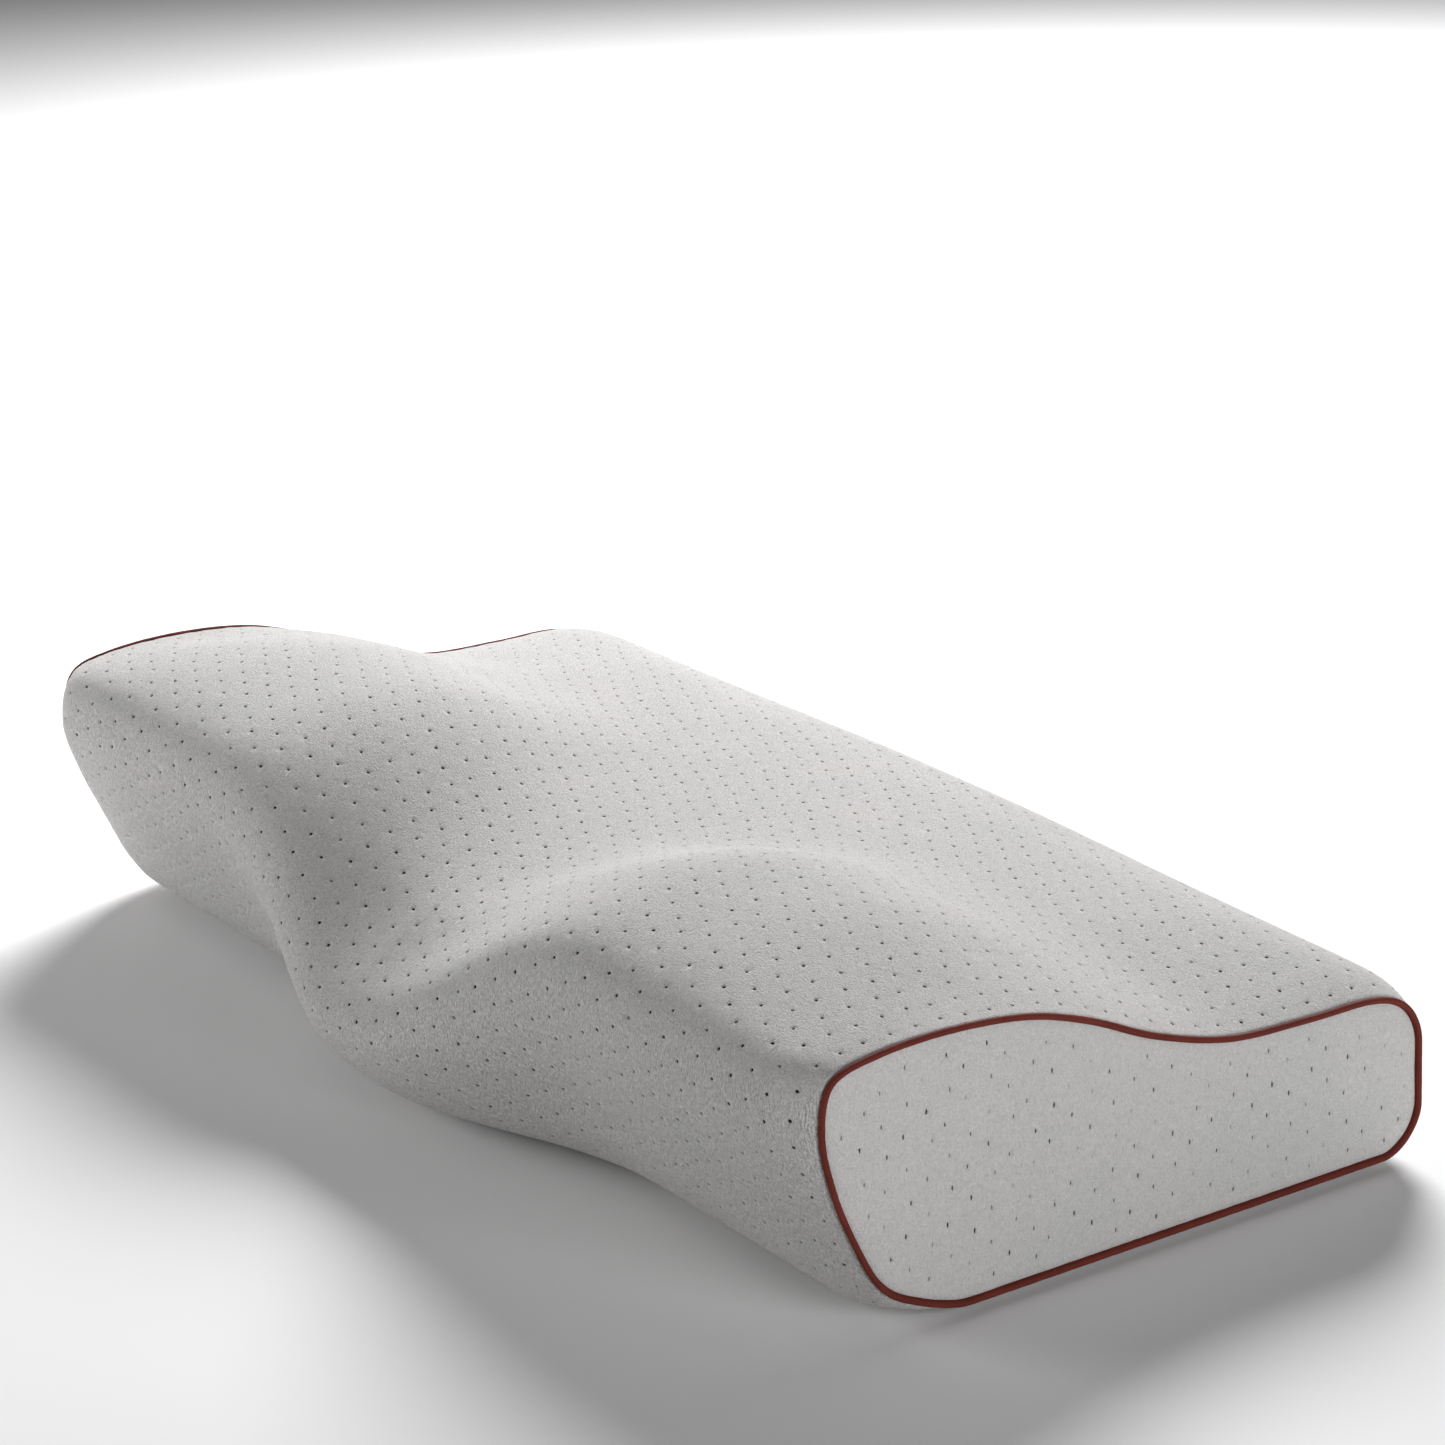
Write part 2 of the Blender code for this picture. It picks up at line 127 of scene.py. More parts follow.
# Cover fabric
THICKNESS = 0.0012
HOLE_PITCH = 0.0113     # between pin-holes, along and across the cloth
CELLS_PER_HOLE = 4      # grid cells from one pin-hole to the next
GIRTH = 0.86            # round the pillow's section, on average
PANEL_X = 0.2945        # where the long panels start to turn under the piping
FOLD_X = 0.2950         # where their folded seam edges end
SEAM_FOLD = (0.0007, 0.0018)    # radius and depth of a folded edge at the base seam
SLOT_FOLD = (0.0008, 0.0015)    # and at the zip's opening
FOLD_LENGTH = 0.0026    # cloth taken up by a folded edge, with closer grid rows at these places
FOLD_PLACES = np.array([0.0, 0.0006, 0.0012, 0.0016, 0.0020, 0.0023])
# Each ring's size, how deep it sinks and how much painted shade darkens it, from a pin-hole's lip inwards
HOLE_RINGS = ((1.50, 0.00004, 0.0), (1.10, 0.00022, 0.0), (0.95, 0.00070, 1.0))
HOLE_DEPTH = 0.0014
HOLE_SIZE = (0.00062, 0.00080)
HOLE_STRETCH = (0.98, 1.25)
HOLE_DRIFT = 0.0005     # how far a pin-hole strays from its grid point, and the most it may
MOST_DRIFT = 0.0009
HOLE_SHOWN = (0.50, 1.0)        # how open a pin-hole is


def smooth_step(value):
    """0 to 1 with level ends."""
    value = min(max(value, 0.0), 1.0)
    return value * value * (3 - 2 * value)


def spline(points, first_tangent, last_tangent, facets):
    """A smooth line through the points, with facets pieces between each two."""
    tangents = np.empty_like(points)
    tangents[1:-1] = (points[2:] - points[:-2]) / 2
    tangents[0] = np.asarray(first_tangent) * np.linalg.norm(points[1] - points[0])
    tangents[-1] = np.asarray(last_tangent) * np.linalg.norm(points[-1] - points[-2])
    t = (np.arange(facets) / facets)[:, None]
    pieces = []
    for i in range(len(points) - 1):
        pieces.append(
            (2 * t**3 - 3 * t**2 + 1) * points[i]
            + (t**3 - 2 * t**2 + t) * tangents[i]
            + (3 * t**2 - 2 * t**3) * points[i + 1]
            + (t**3 - t**2) * tangents[i + 1]
        )
    return np.vstack([*pieces, points[-1:]])


def fullness(x):
    """1 along the pillow, falling to 0 at the piping."""
    past = max(0.0, abs(x) - (PIPING_X - SHOULDER)) / SHOULDER
    return 1 - past**SHOULDER_POWER


def fade(x, limits):
    """The middle's share of the outline at x."""
    return (1 - smooth_step((abs(x) - limits[0]) / (limits[1] - limits[0]))) ** FADE_POWER


def slot_half(x):
    """Half the opening between the cover's panels over the zip, which rounds off at its ends."""
    past = (abs(x) - SLOT_END) / SLOT_ROUND
    if past <= 0:
        return SLOT_HALF
    if past >= 1:
        return SEAM_HALF
    return max(SEAM_HALF, SLOT_HALF * math.sqrt(1 - past * past))


def quarter_turn(corner, before, after, radius, depth):
    """Points of a fold at a corner: a quarter circle, then straight on for the rest of depth."""
    corner, before, after = (np.array(v, float) for v in (corner, before, after))
    points = []
    for angle in (0, 22.5, 45, 67.5, 90):
        a = math.radians(angle)
        points.append(corner - before * radius * (1 - math.sin(a)) + after * radius * (1 - math.cos(a)))
    points.append(corner + after * depth)
    return points


def outlines(x, folds=True):
    """The top and the bottom panel's outlines at x, as closely spaced (y, z) points."""
    crown = smooth_step((PIPING_X - abs(x)) / CROWN_REACH)
    wing = WING_OUTLINE[:, :2] + WING_OUTLINE[:, 2:4] * fullness(x) + WING_OUTLINE[:, 4:] * crown
    corner = REAR_CORNER[:, :2] + REAR_CORNER[:, 2:4] * fullness(x)
    share = np.array(
        [fade(x, FRONT_FADE)] * FRONT_POINTS
        + [fade(x, HOLLOW_FADE)] * (TOP_POINTS - FRONT_POINTS)
        + [fade(x, REAR_FADE)] * (len(wing) - TOP_POINTS)
    )[:, None]
    over = wing + (NECK_OUTLINE - wing) * share
    over[-1] = wing[-1]
    band, base, front = corner[0, 0], over[0, 1], over[0, 0] + SEAM_SETBACK
    half = slot_half(x)
    upper_edge, lower_edge = (band, ZIP_Z + half), (band, ZIP_Z - half)
    if folds:
        seam_front = quarter_turn((front - SEAM_HALF, base), (1, 0), (0, 1), *SEAM_FOLD)[::-1]
        seam_rear = quarter_turn((front + SEAM_HALF, base), (-1, 0), (0, 1), *SEAM_FOLD)
        over_slot = quarter_turn(upper_edge, (0, -1), (-1, 0), *SLOT_FOLD)
        under_slot = quarter_turn(lower_edge, (0, 1), (-1, 0), *SLOT_FOLD)[::-1]
    else:
        seam_front, seam_rear, over_slot, under_slot = [(front, base)], [], [], []
    over_line = spline(over, (-1, 0), (0, -1), SPAN_FACETS)
    corner_line = spline(corner, (0, -1), (-1, 0), SPAN_FACETS)
    top = np.vstack([seam_front, over_line, *map(np.atleast_2d, over_slot)])
    bottom = np.vstack([*map(np.atleast_2d, under_slot), corner_line, *map(np.atleast_2d, seam_rear)])
    for line in (top, bottom):
        line[:, 0] -= MIDDLE_Y
        line[:, 1] = np.maximum(line[:, 1], 0.0)
    return top, bottom


def arc_lengths(line):
    """The distance along a line at each of its points."""
    return np.concatenate([[0.0], np.linalg.norm(np.diff(line, axis=0), axis=1).cumsum()])


def resample(line, places):
    """A line's points at the given distances along it."""
    along = arc_lengths(line)
    return np.column_stack([np.interp(places, along, line[:, k]) for k in range(line.shape[1])])


def normals_2d(line):
    """Unit normals of a (y, z) line, to its left."""
    tangent = np.gradient(line, axis=0)
    normal = np.column_stack([-tangent[:, 1], tangent[:, 0]])
    return normal / np.maximum(np.linalg.norm(normal, axis=1, keepdims=True), 1e-12)


def even_ring(x, count):
    """Evenly spaced (y, z) points round the whole outline at x, their unit normals and its length."""
    ring = np.vstack(outlines(x, folds=False))
    closed = np.vstack([ring, ring[:1]])
    length = arc_lengths(closed)[-1]
    even = resample(closed, np.arange(count) / count * length)
    return even, normals_2d(np.vstack([even[-1:], even, even[:1]]))[1:-1], length


# ---- mesh helpers
def mesh_object(name, vertices, faces, material, closed=True):
    """A smooth-shaded mesh object in the scene, with its faces turned outwards if it is closed."""
    mesh = bpy.data.meshes.new(name)
    mesh.from_pydata([tuple(v) for v in vertices], [], faces)
    mesh.validate()
    mesh.update()
    if material is not None:
        mesh.materials.append(material)
    thing = bpy.data.objects.new(name, mesh)
    bpy.context.scene.collection.objects.link(thing)
    mesh.shade_smooth()
    if closed:
        work = bmesh.new()
        work.from_mesh(mesh)
        bmesh.ops.recalc_face_normals(work, faces=work.faces)
        work.to_mesh(mesh)
        work.free()
    return thing


def set_points(thing, name, values):
    """Store a number per vertex for the material to read."""
    attribute = thing.data.attributes.new(name, "FLOAT", "POINT")
    attribute.data.foreach_set("value", np.asarray(values, np.float32))


def set_cloth(thing, places, girth=None):
    """Store each vertex's place on the cloth, in metres, as a UV map.

    girth is the length of a ring of quads whose first coordinate starts again at its end.
    """
    corners = np.empty(len(thing.data.loops), np.int32)
    thing.data.loops.foreach_get("vertex_index", corners)
    cloth = places[corners]
    if girth:
        along = cloth.reshape(-1, 4, 2)[:, :, 0]
        wraps = (np.ptp(along, axis=1) > girth / 2)[:, None]
        along[wraps & (along < girth / 2)] += girth
    layer = thing.data.uv_layers.new(name="Cloth")
    layer.data.foreach_set("uv", cloth.astype(np.float32).ravel())


def stand_for(thing, node):
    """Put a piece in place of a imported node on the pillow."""
    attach(thing, "pillow")
    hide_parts(node)


def numbers(rows, columns, start=0):
    """A grid of vertex numbers."""
    return start + np.arange(rows * columns).reshape(rows, columns)


def tube_faces(index, closed=True):
    """Quads between the rows of a grid of vertex numbers, each row closed on itself or not."""
    following = np.roll(index, -1, axis=1) if closed else index[:, 1:]
    here = index if closed else index[:, :-1]
    quads = np.stack([here[:-1], following[:-1], following[1:], here[1:]], axis=2)
    return quads.reshape(-1, 4).tolist()


def end_faces(index):
    """The two faces that close a tube."""
    return [index[0][::-1].tolist(), index[-1].tolist()]


def grid_normals(points):
    """Unit normals of a grid of points, rows along the girth and columns along X."""
    across = np.gradient(points, axis=0)
    along = np.gradient(points, axis=1)
    normal = np.cross(along, across)
    return normal / np.maximum(np.linalg.norm(normal, axis=2, keepdims=True), 1e-12)


# ---- cover panels
END_TURN = ((0.2952, 0.0001), (0.2958, 0.0004), (0.2963, 0.0009), (0.2966, 0.0016), (0.2967, 0.0026))
COLUMNS = CELLS_PER_HOLE * round(2 * PANEL_X / HOLE_PITCH)
columns = [(-x, inset) for x, inset in reversed(END_TURN)]
columns += [(x, 0.0) for x in np.linspace(-PANEL_X, PANEL_X, COLUMNS + 1)]
columns += END_TURN
FOLD_ROWS = len(FOLD_PLACES)
COARSE = 4              # grid cells for each cell of a panel's inner face
ROUND_A_HOLE = ((0, 1), (1, 1), (1, 0), (1, -1), (0, -1), (-1, -1), (-1, 0), (-1, 1))
HOLE_SIDES = len(ROUND_A_HOLE)


def panel_grid(which):
    """The top (0) or bottom (1) panel's outer face.

    Gives its (rows, columns, 3) points, each point's place along the girth, and the number
    of cells between its two folded edges.
    """
    lines = [outlines(x)[which] for x, _ in columns]
    lengths = [arc_lengths(line)[-1] for line in lines]
    cells = CELLS_PER_HOLE * round(np.mean(lengths) / HOLE_PITCH)
    points = np.empty((cells + 1 + 2 * FOLD_ROWS, len(columns), 3))
    places = np.empty(points.shape[:2])
    for c, ((x, inset), line, length) in enumerate(zip(columns, lines, lengths)):
        inner = np.linspace(FOLD_LENGTH, length - FOLD_LENGTH, cells + 1)
        place = np.concatenate([FOLD_PLACES, inner, (length - FOLD_PLACES)[::-1]])
        profile = resample(line, place)
        if inset:
            profile = profile - normals_2d(profile) * inset
        points[:, c, 0] = x
        points[:FOLD_ROWS, c, 0] = points[-FOLD_ROWS:, c, 0] = np.clip(x, -FOLD_X, FOLD_X)
        points[:, c, 1:] = profile
        places[:, c] = place - length / 2
    return points, places, cells


def coarse_indices(count):
    """Every COARSE-th index, and the last."""
    picks = list(range(0, count, COARSE))
    if picks[-1] != count - 1:
        picks.append(count - 1)
    return picks


def panel_mesh(name, points, places, cells, material):
    """A closed panel: its outer face with pin-holes, a coarser inner face, and a rim between them."""
    rows, cols = points.shape[:2]
    normal = grid_normals(points)
    vertices = points.reshape(-1, 3).copy()
    cloth = np.stack([points[..., 0], places], axis=2).reshape(-1, 2)
    # painted shade for each vertex, darkest deep in a pin-hole
    pit_shade = np.zeros(len(vertices))
    index = numbers(rows, cols)

    # Pin-holes, on grid points in staggered columns
    centres = []
    first = len(END_TURN)
    for m, c in enumerate(range(first + 2, first + COLUMNS - 1, CELLS_PER_HOLE)):
        start = FOLD_ROWS + 2 + (m % 2) * (CELLS_PER_HOLE // 2)
        centres += [(r, c) for r in range(start, FOLD_ROWS + cells - 1, CELLS_PER_HOLE)]
    r, c = np.array(centres).T
    count = len(centres)
    centre = index[r, c]
    up = normal[r, c]
    along = points[r, c + 1] - points[r, c - 1]
    along /= np.linalg.norm(along, axis=1, keepdims=True)
    across = np.cross(up, along)
    size = random.uniform(*HOLE_SIZE, count)
    stretch = random.uniform(*HOLE_STRETCH, count)
    drift = random.normal(0, HOLE_DRIFT, (count, 2)).clip(-MOST_DRIFT, MOST_DRIFT)
    depth = random.uniform(*HOLE_SHOWN, count)
    middle = points[r, c] + along * drift[:, :1] + across * drift[:, 1:]
    turn = np.sign((np.cross(points[r, c + 1] - points[r, c], points[r + 1, c] - points[r, c]) * up).sum(1))
    rings = [np.stack([index[r + dr, c + dc] for dr, dc in ROUND_A_HOLE], axis=1)]
    extra, extra_cloth, extra_pit_shade = [], [], []
    for scale, sink, painted_shade in HOLE_RINGS:
        start = len(vertices) + len(extra) * count
        rings.append(numbers(HOLE_SIDES, count, start).T)
        for k in range(HOLE_SIDES):
            angle = 2 * math.pi * k / HOLE_SIDES
            a, b = size * scale * math.cos(angle), size * scale * math.sin(angle)
            ring = middle + (a * stretch)[:, None] * along + (b / stretch * turn)[:, None] * across
            extra.append(ring - up * (sink * depth)[:, None])
            extra_cloth.append(cloth[centre] + np.column_stack([a, b]))
            extra_pit_shade.append(painted_shade * depth)
    vertices[centre] = middle - up * (HOLE_DEPTH * depth)[:, None]
    pit_shade[centre] = depth

    # The outer face
    holed = np.zeros((rows - 1, cols - 1), bool)
    for dr, dc in ((0, 0), (0, -1), (-1, 0), (-1, -1)):
        holed[r + dr, c + dc] = True
    faces = np.array(tube_faces(index, closed=False))[~holed.ravel()].tolist()
    for k in range(HOLE_SIDES):
        n = (k + 1) % HOLE_SIDES
        for outer, inner in zip(rings, rings[1:]):
            faces += np.stack([outer[:, k], outer[:, n], inner[:, n], inner[:, k]], axis=1).tolist()
        faces += np.stack([rings[-1][:, k], rings[-1][:, n], centre], axis=1).tolist()

    # The inner face, and the rim
    pick_r, pick_c = coarse_indices(rows), coarse_indices(cols)
    picked = np.ix_(pick_r, pick_c)
    back = points[picked] - normal[picked] * THICKNESS
    back_cloth = np.stack([back[..., 0], places[picked]], axis=2)
    back_index = numbers(len(pick_r), len(pick_c), len(vertices) + len(extra) * count)
    vertices = np.vstack([vertices, *extra, back.reshape(-1, 3)])
    cloth = np.vstack([cloth, *extra_cloth, back_cloth.reshape(-1, 2)])
    pit_shade = np.concatenate([pit_shade, *extra_pit_shade, np.zeros(back_index.size)])
    faces += tube_faces(back_index.T, closed=False)
    for edge, back_edge, picks, flip in (
        (index[0], back_index[0], pick_c, True),
        (index[-1], back_index[-1], pick_c, False),
        (index[:, 0], back_index[:, 0], pick_r, False),
        (index[:, -1], back_index[:, -1], pick_r, True),
    ):
        for k in range(len(picks) - 1):
            face = [*edge[picks[k] : picks[k + 1] + 1], back_edge[k + 1], back_edge[k]]
            faces.append([int(i) for i in (face[::-1] if flip else face)])

    thing = mesh_object(name, vertices, faces, material)
    upright = np.zeros(len(vertices))
    upright[: rows * cols] = np.clip(1.25 - 1.5 * normal[..., 2], 0, 1).ravel()
    set_points(thing, "pit_shade", pit_shade)
    set_points(thing, "upright", upright)
    set_cloth(thing, cloth)
    return thing


# ---- the padding's swell, by cloth simulation
def plain_body(step):
    """A closed body of the pillow's outline, with square cells of about step."""
    count = round(GIRTH / step)
    xs = np.linspace(-PIPING_X, PIPING_X, round(2 * PIPING_X / step) + 1)
    rings = [np.column_stack([np.full(count, x), even_ring(x, count)[0]]) for x in xs]
    index = numbers(len(xs), count)
    return mesh_object("padding_trial", np.vstack(rings), tube_faces(index) + end_faces(index), None, False)


def coordinates(mesh):
    """A mesh's vertices as an array."""
    values = np.empty(len(mesh.vertices) * 3, np.float32)
    mesh.vertices.foreach_get("co", values)
    return values.reshape(-1, 3).astype(float)


SWELL_CAP = 0.0022
SWELL_LEAST = -0.0004
PUFF = 0.0014           # how much fuller the cover sits on top than the foam
TRIAL_STEP = 0.008      # cells of the body that is remeshed
VOXEL = 0.006
CLOTH = {
    "quality": 5,
    "mass": 0.3,
    "tension_stiffness": 30,
    "compression_stiffness": 30,
    "shear_stiffness": 12,
    "bending_stiffness": 2,
    "vertex_group_mass": "held",
    "use_pressure": True,
    "uniform_pressure_force": 4,
}
LAST_FRAME = 20
# The cloth is held where it is sewn or rests: past this X, this near the zip, and below this Z
HELD_X = 0.291
HELD_REAR_Y = 0.150
HELD_BY_ZIP = 0.011
HELD_BASE = 0.003


def simulate_swell():
    """Rest points of a remeshed body and how far each swells along its normal under the foam's push."""
    body = plain_body(TRIAL_STEP)
    remesh = body.modifiers.new("remesh", "REMESH")
    remesh.mode = "VOXEL"
    remesh.voxel_size = VOXEL
    graph = bpy.context.evaluated_depsgraph_get()
    mesh = bpy.data.meshes.new_from_object(body.evaluated_get(graph))
    bpy.data.objects.remove(body)
    cloth_body = bpy.data.objects.new("padding_cloth", mesh)
    bpy.context.scene.collection.objects.link(cloth_body)
    rest = coordinates(mesh)
    normals = np.array([v.normal for v in mesh.vertices])
    held = (np.abs(rest[:, 0]) > HELD_X) & (np.abs(normals[:, 0]) < 0.9)
    held |= (rest[:, 1] > HELD_REAR_Y) & (np.abs(rest[:, 2] - ZIP_Z) < HELD_BY_ZIP)
    held |= rest[:, 2] < HELD_BASE
    group = cloth_body.vertex_groups.new(name="held")
    group.add([int(i) for i in np.flatnonzero(held)], 1.0, "REPLACE")
    cloth = cloth_body.modifiers.new("cloth", "CLOTH")
    for key, value in CLOTH.items():
        setattr(cloth.settings, key, value)
    cloth.settings.effector_weights.gravity = 0
    scene = bpy.context.scene
    for frame_number in range(1, LAST_FRAME + 1):
        scene.frame_set(frame_number)
    graph = bpy.context.evaluated_depsgraph_get()
    moved = coordinates(cloth_body.evaluated_get(graph).data)
    scene.frame_set(1)
    swell = ((moved - rest) * normals).sum(axis=1).clip(SWELL_LEAST)
    print("swell mm: mean %.2f, most %.2f" % (swell.mean() * 1000, swell.max() * 1000))
    bpy.data.objects.remove(cloth_body)
    return rest, SWELL_CAP * np.tanh(swell / SWELL_CAP)


def swell_lookup():
    rest, swell = simulate_swell()
    tree = KDTree(len(rest))
    for i, point in enumerate(rest):
        tree.insert(point, i)
    tree.balance()
    return tree, swell


def swell_at(lookup, points):
    """How far the cloth stands proud at each point of a grid, smoothed from the simulation."""
    if lookup is None:
        return np.zeros(points.shape[:2])
    tree, swell = lookup
    pick_r, pick_c = coarse_indices(points.shape[0]), coarse_indices(points.shape[1])
    coarse = np.empty((len(pick_r), len(pick_c)))
    for a, r in enumerate(pick_r):
        for b, c in enumerate(pick_c):
            found = tree.find_n(points[r, c], 9)
            weights = np.array([1 / (d + 0.002) for _, _, d in found])
            coarse[a, b] = (weights * [swell[i] for _, i, _ in found]).sum() / weights.sum()
    for _ in range(2):
        wide = np.pad(coarse, 1, mode="edge")
        coarse = (wide[:-2, 1:-1] + wide[2:, 1:-1] + wide[1:-1, :-2] + wide[1:-1, 2:] + 4 * coarse) / 8
    rows = np.arange(points.shape[0])
    wide = np.array([np.interp(np.arange(points.shape[1]), pick_c, line) for line in coarse])
    return np.array([np.interp(rows, pick_r, wide[:, c]) for c in range(wide.shape[1])]).T


PUCKER = 0.00016
PUCKER_REACH = 0.0085
PUCKER_START = 0.002
LONG_PULL = 0.0131      # from one pull to the next, along the seam
SHORT_PULL = 0.0073


def pucker(points, places):
    """Small pulls in the cloth where it is gathered into the piping."""
    x = points[..., 0]
    from_seam = np.maximum(PIPING_X - np.abs(x), 0.0)
    reach = np.exp(-from_seam / PUCKER_REACH) * (1 - np.exp(-from_seam / PUCKER_START))
    phase = np.where(x > 0, 1.7, 0.4)       # so that the two ends differ
    wave = np.sin(places * 2 * math.pi / LONG_PULL + 2.1 * np.sin(places * 47 + phase) + phase)
    wave += 0.6 * np.sin(places * 2 * math.pi / SHORT_PULL + 1.3 * np.sin(places * 83) + 2 * phase)
    return PUCKER * wave * reach


# ---- materials
BANDS = 2 / 6.2832      # a wave texture's scale, times the width of its bands
NOISE_INPUTS = ("Scale", "Detail", "Roughness", "Distortion")
WAVE_INPUTS = ("Scale", "Distortion", "Detail", "Detail Scale")


class Nodes:
    """A material's node tree, with short calls to make and join nodes."""

    def __init__(self, name):
        self.material = bpy.data.materials.new(name)
        self.material.use_nodes = True
        self.tree = self.material.node_tree
        self.shader = self.tree.nodes["Principled BSDF"]

    def make(self, kind, **settings):
        node = self.tree.nodes.new(kind)
        for key, value in settings.items():
            setattr(node, key, value)
        return node

    def join(self, source, target):
        self.tree.links.new(source, target)

    def put(self, socket, value):
        """Give an input a value, or join it to a node's output."""
        if isinstance(value, bpy.types.NodeSocket):
            self.join(value, socket)
        else:
            socket.default_value = value

    def math(self, operation, result, *others):
        """Fold numbers from left to right with a two-input operation."""
        for other in others:
            node = self.make("ShaderNodeMath", operation=operation)
            self.put(node.inputs[0], result)
            self.put(node.inputs[1], other)
            result = node.outputs[0]
        return result

    def plus(self, *numbers):
        return self.math("ADD", *numbers)

    def times(self, *numbers):
        return self.math("MULTIPLY", *numbers)

    def place(self, uv=None, scale=(1, 1, 1)):
        """Cloth coordinates in metres where uv names a map, or object coordinates, each times scale."""
        if uv:
            source = self.make("ShaderNodeUVMap", uv_map=uv).outputs[0]
        else:
            source = self.make("ShaderNodeTexCoord").outputs["Object"]
        mapping = self.make("ShaderNodeMapping")
        mapping.inputs["Scale"].default_value = scale
        self.join(source, mapping.inputs["Vector"])
        return mapping.outputs[0]

    def texture(self, node, place, values, keys):
        """Put a texture at a place and set its inputs."""
        self.join(place, node.inputs["Vector"])
        for key, value in zip(keys, values):
            node.inputs[key].default_value = value
        return node.outputs["Fac"]

    def noise(self, place, scale, detail=2.0, roughness=0.5, distortion=0.0):
        node = self.make("ShaderNodeTexNoise")
        return self.texture(node, place, (scale, detail, roughness, distortion), NOISE_INPUTS)

    def wave(self, place, scale, direction, distortion, detail=0.0, detail_scale=1.0):
        node = self.make("ShaderNodeTexWave", wave_type="BANDS", bands_direction=direction)
        return self.texture(node, place, (scale, distortion, detail, detail_scale), WAVE_INPUTS)

    def spread(self, value, low, high, to_low=0.0, to_high=1.0):
        """Map the range low to high onto to_low to to_high, clamped."""
        node = self.make("ShaderNodeMapRange")
        self.put(node.inputs["Value"], value)
        for k, number in enumerate((low, high, to_low, to_high), start=1):
            node.inputs[k].default_value = number
        return node.outputs[0]

    def vary(self, noise, low, high):
        """A number from low to high, as a noise has it."""
        return self.spread(noise, 0.3, 0.7, low, high)

    def mix(self, factor, a, b):
        node = self.make("ShaderNodeMix", data_type="RGBA")
        self.put(node.inputs["Factor"], factor)
        for socket, value in ((node.inputs[6], a), (node.inputs[7], b)):
            self.put(socket, value if isinstance(value, bpy.types.NodeSocket) else (*value, 1.0))
        return node.outputs[2]

    def plain(self, colour):
        """A constant colour."""
        return self.mix(0.0, colour, (1, 1, 1))

    def scaled(self, colour, value):
        """A colour times a number from nodes."""
        node = self.make("ShaderNodeVectorMath", operation="SCALE")
        self.put(node.inputs[0], colour)
        self.put(node.inputs["Scale"], value)
        return node.outputs[0]

    def bump(self, height, distance, strength):
        node = self.make("ShaderNodeBump")
        node.inputs["Strength"].default_value = strength
        node.inputs["Distance"].default_value = distance
        self.join(height, node.inputs["Height"])
        return node.outputs[0]

    def finish(self, colour, roughness, normal=None, **constant):
        """Set the shader's inputs, named as in Blender with _ for a space, and give the material."""
        self.put(self.shader.inputs["Base Color"], colour)
        self.put(self.shader.inputs["Roughness"], roughness)
        if normal is not None:
            self.join(normal, self.shader.inputs["Normal"])
        for key, value in constant.items():
            self.shader.inputs[key.replace("_", " ").title()].default_value = value
        return self.material


def velour_material(name, colour, flecks):
    """Short-pile velour knit: fuzzy grain, short flecks of brushed pile, and painted shade darkening the
    pin-holes' insides.

    The flecks lie along X on top and up and down on the flanks. flecks is how clear they are.
    """
    n = Nodes(name)
    place = n.place()
    grain = n.noise(place, 1200, 2.0, 0.65)
    fuzz = n.noise(place, 430, 3.0, 0.6)
    patch = n.noise(place, 16, 3.0, 0.55)
    along = n.noise(n.place("Cloth", (620, 2300, 1)), 1.0, 2.0, 0.6)
    upwards = n.noise(n.place("Cloth", (1500, 480, 1)), 1.0, 2.0, 0.6)
    knit = n.noise(n.place("Cloth", (900, 120, 1)), 1.0, 2.0, 0.5)
    upright, pit_shade = (
        n.make("ShaderNodeAttribute", attribute_name=name).outputs["Fac"] for name in ("upright", "pit_shade")
    )
    brushed = n.plus(along, n.times(upright, n.math("SUBTRACT", upwards, along)))
    nap = n.times(upright, n.vary(upwards, -0.24 * flecks**3, 0.24 * flecks**3))
    tone = n.times(
        n.spread(grain, 0.28, 0.72, 1 - 0.20 * flecks**0.5, 1 + 0.18 * flecks**0.5),
        n.vary(fuzz, 0.95, 1.04),
        n.vary(patch, 0.975, 1.02),
        n.vary(brushed, 1 - 0.05 * flecks, 1 + 0.04 * flecks),
        n.vary(knit, 0.99, 1.01),
        n.plus(nap, 1.0),
        # painted shade: the pin-holes' insides darkened down to a twentieth of the tone
        n.spread(pit_shade, 0.15, 0.80, 1.0, 0.05),
    )
    warmer = tuple(c * k for c, k in zip(colour, (1.02, 0.995, 0.985)))
    base = n.mix(n.spread(patch, 0.35, 0.65), colour, warmer)
    height = n.plus(
        n.times(grain, 0.55),
        n.times(fuzz, 0.30),
        n.times(brushed, 0.55 * flecks),
        n.times(upwards, upright, 0.5 * flecks**3),
        n.times(knit, 0.12),
    )
    return n.finish(
        n.scaled(base, tone),
        n.vary(fuzz, 0.88, 0.98),
        n.bump(height, 0.0014, 0.75 + 0.20 * flecks),
        sheen_weight=0.2,
        sheen_roughness=0.45,
    )


velour = velour_material("velour", (0.615, 0.609, 0.603), 1.0)
velour_end = velour_material("velour_end", (0.620, 0.617, 0.615), 0.45)


# ---- the cover
PUFF_STARTS = 0.006     # from the piping, and how far it takes to reach its full height
PUFF_REACH = 0.045


